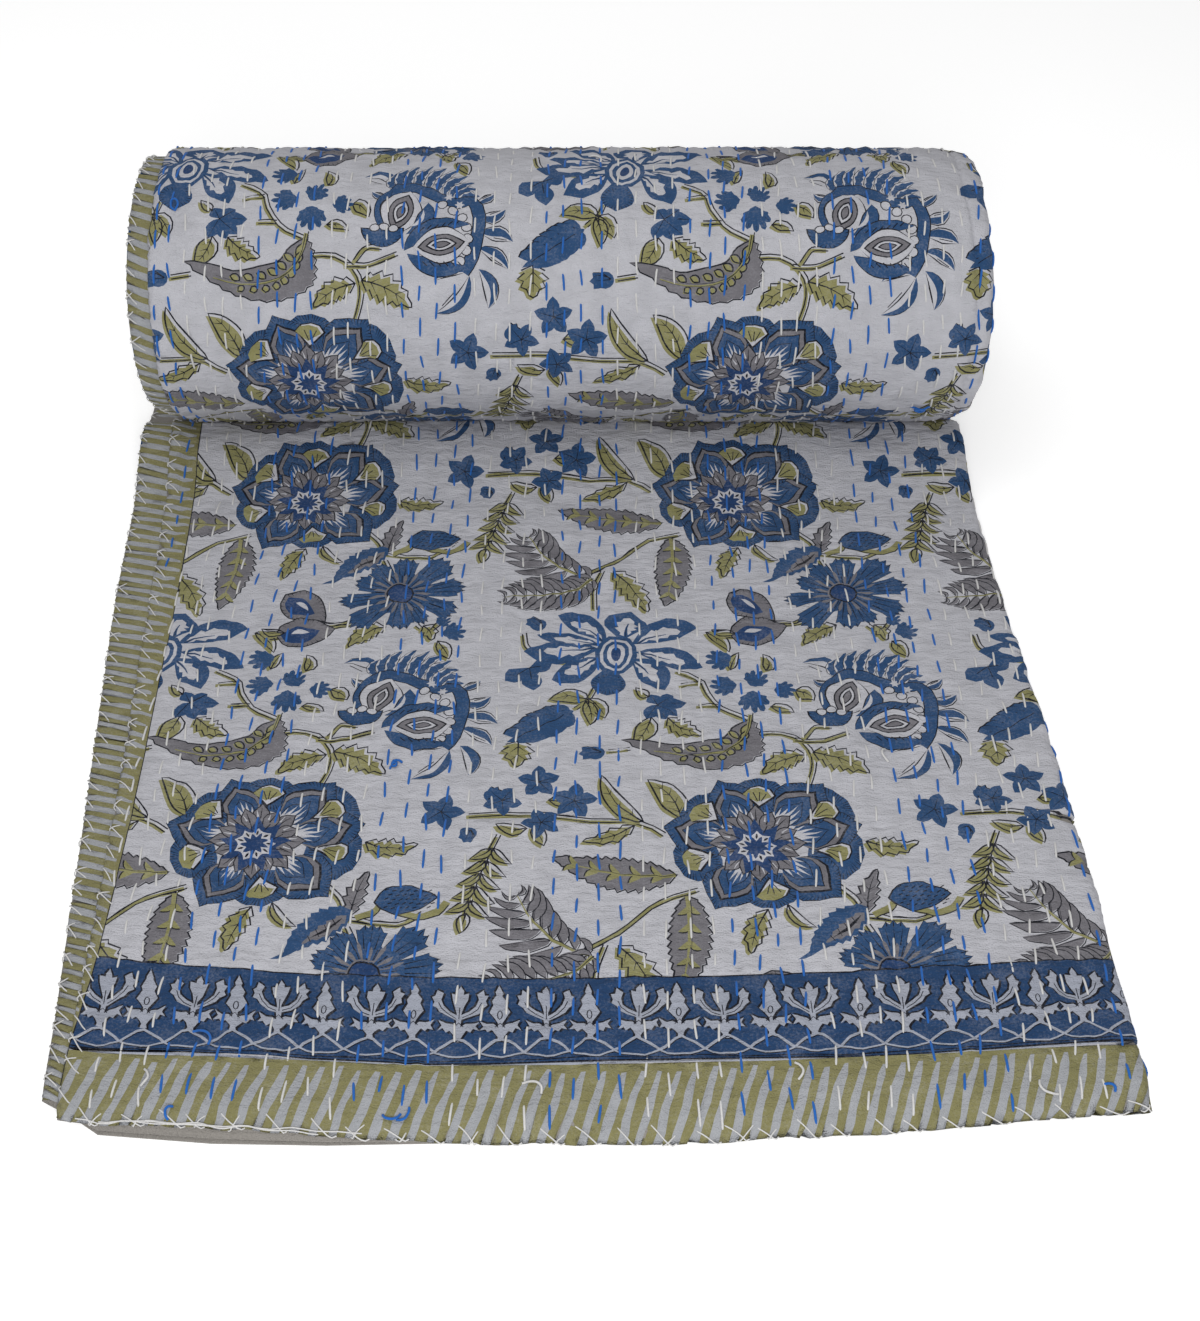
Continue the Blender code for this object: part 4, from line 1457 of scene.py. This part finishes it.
def shadedInnerCotton():
    # the same cotton inside the fold, where edges and scraps of the print show; its bare ground is darkened
    # as painted shade of the folded layers
    material, tree, shader = newMaterial("folded_printed_cotton_painted_shade", 0.9, 0.03)
    where = addNode(tree, "ShaderNodeTexCoord")["Object"]
    # the inside colour is the bare cloth darkened as painted shade
    colour = inks["inside"][:3] + (1,)
    height = addNode(tree, "ShaderNodeSeparateXYZ", {0: where})["Z"]
    above = addNode(tree, "ShaderNodeMapRange", {"Value": height, "From Min": 0.013, "From Max": 0.017})[0]
    scraps = (("olive", 3.1, 30.0, 0.60), ("blue", 7.7, 24.0, 0.57), ("grey", 5.2, 34.0, 0.63))
    for name, shift, size, least in scraps:
        moved = addNode(tree, "ShaderNodeVectorMath", {0: where, 1: (shift,) * 3}, operation="ADD")[0]
        scrap = addNode(tree, "ShaderNodeTexNoise", {"Vector": moved, "Scale": size, "Detail": 3.0})["Fac"]
        scrapRange = {"Value": scrap, "From Min": least, "From Max": least + 0.015}
        share = addNode(tree, "ShaderNodeMapRange", scrapRange)[0]
        share = addNode(tree, "ShaderNodeMath", {0: share, 1: above}, operation="MULTIPLY")[0]
        colour = mixed(tree, share, colour, inks[name][:3] + (1,))
    tree.links.new(colour, shader.inputs["Base Color"])
    clothBump(tree, shader, where)
    return material


def cottonThread(name, code):
    # six-strand cotton floss: soft sheen, with the strands showing as fine streaks
    material, tree, shader = newMaterial(name, 0.7, 0.12)
    where = addNode(tree, "ShaderNodeTexCoord")["Object"]
    strands = addNode(tree, "ShaderNodeTexNoise", {"Vector": where, "Scale": 900.0, "Detail": 2.0})["Fac"]
    base = hexColour(code)
    dark = tuple(c * 0.7 for c in base[:3]) + (1,)
    tree.links.new(mixed(tree, strands, dark, base), shader.inputs["Base Color"])
    bump = addNode(tree, "ShaderNodeBump", {"Height": strands, "Strength": 0.4, "Distance": 0.0004})
    tree.links.new(bump[0], shader.inputs["Normal"])
    return material


printed = printedCotton()
for piece in (flapCover, rollCover, flapMargin, rollMargin):
    piece.data.materials.append(printed)
layers.data.materials.append(shadedInnerCotton())
blueThreads.data.materials.append(cottonThread("blue_cotton_thread", "#1F61B0"))
whiteThread = cottonThread("white_cotton_thread", "#CDCCCB")
whiteThreads.data.materials.append(whiteThread)
whipThreads.data.materials.append(whiteThread)
print("materials made")

threads = [blueThreads, whiteThreads, whipThreads]
pieces = [flapCover, rollCover, flapMargin, rollMargin, layers] + threads
for piece in pieces:
    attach(piece, "root")
for piece in (layers, flapCover, rollCover):
    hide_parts("quilt")

# the room, its light and the camera, which stands as in the photograph
studio = {
    "world": 0.45, "glow": 0.35, "floorSize": 4, "floorDrop": 0.0008,
    "cameraHeight": 0.856, "tilt": 45.0, "lens": 52.05, "cameraX": 0.020, "frontToCamera": 0.508,
    # name, size, power, place and aim
    "lamps": (("overhead_softbox", 1.4, 8.0, (-0.35, 0.15, 1.6), (0, 0.05, 0)),
              ("front_softbox", 0.5, 11.0, (0.05, -1.15, 0.85), (0, 0.1, 0.05))),
}
bm = bmesh.new()
bmesh.ops.create_grid(bm, x_segments=1, y_segments=1, size=studio["floorSize"])
floorMesh = bpy.data.meshes.new("floor")
bm.to_mesh(floorMesh)
bm.free()
floor = addObject("floor", floorMesh)
floor.location.z = cadLow[2] - studio["floorDrop"]
floorPaint, _, floorShader = newMaterial("pale_paper", 0.9, 0.0)
floorShader.inputs["Base Color"].default_value = (0.90, 0.90, 0.90, 1)
# lit paper that glows a little, as a backlit studio sweep does
floorShader.inputs["Emission Color"].default_value = (1, 1, 1, 1)
floorShader.inputs["Emission Strength"].default_value = studio["glow"]
floor.data.materials.append(floorPaint)
floor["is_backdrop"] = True
world = bpy.data.worlds.new("studio")
world.use_nodes = True
world.node_tree.nodes["Background"].inputs["Color"].default_value = (1, 1, 1, 1)
world.node_tree.nodes["Background"].inputs["Strength"].default_value = studio["world"]
bpy.context.scene.world = world
for name, size, power, spot, aim in studio["lamps"]:
    light = bpy.data.lights.new(name, "AREA")
    light.size = size
    light.energy = power
    lamp = addObject(name, light)
    lamp.location = spot
    lamp.rotation_euler = (Vector(aim) - Vector(spot)).to_track_quat("-Z", "Y").to_euler()
camera = addObject("camera", bpy.data.cameras.new("camera"))
camera.data.lens = studio["lens"]
camera.data.clip_start = 0.02
cameraY = fold["axisY"] - fold["flap"] - studio["frontToCamera"]
camera.location = (studio["cameraX"], cameraY, studio["cameraHeight"])
camera.rotation_euler = (math.radians(90 - studio["tilt"]), 0, 0)
bpy.context.scene.camera = camera
bpy.context.scene.view_settings.view_transform = "Standard"
print("room, light and camera set")
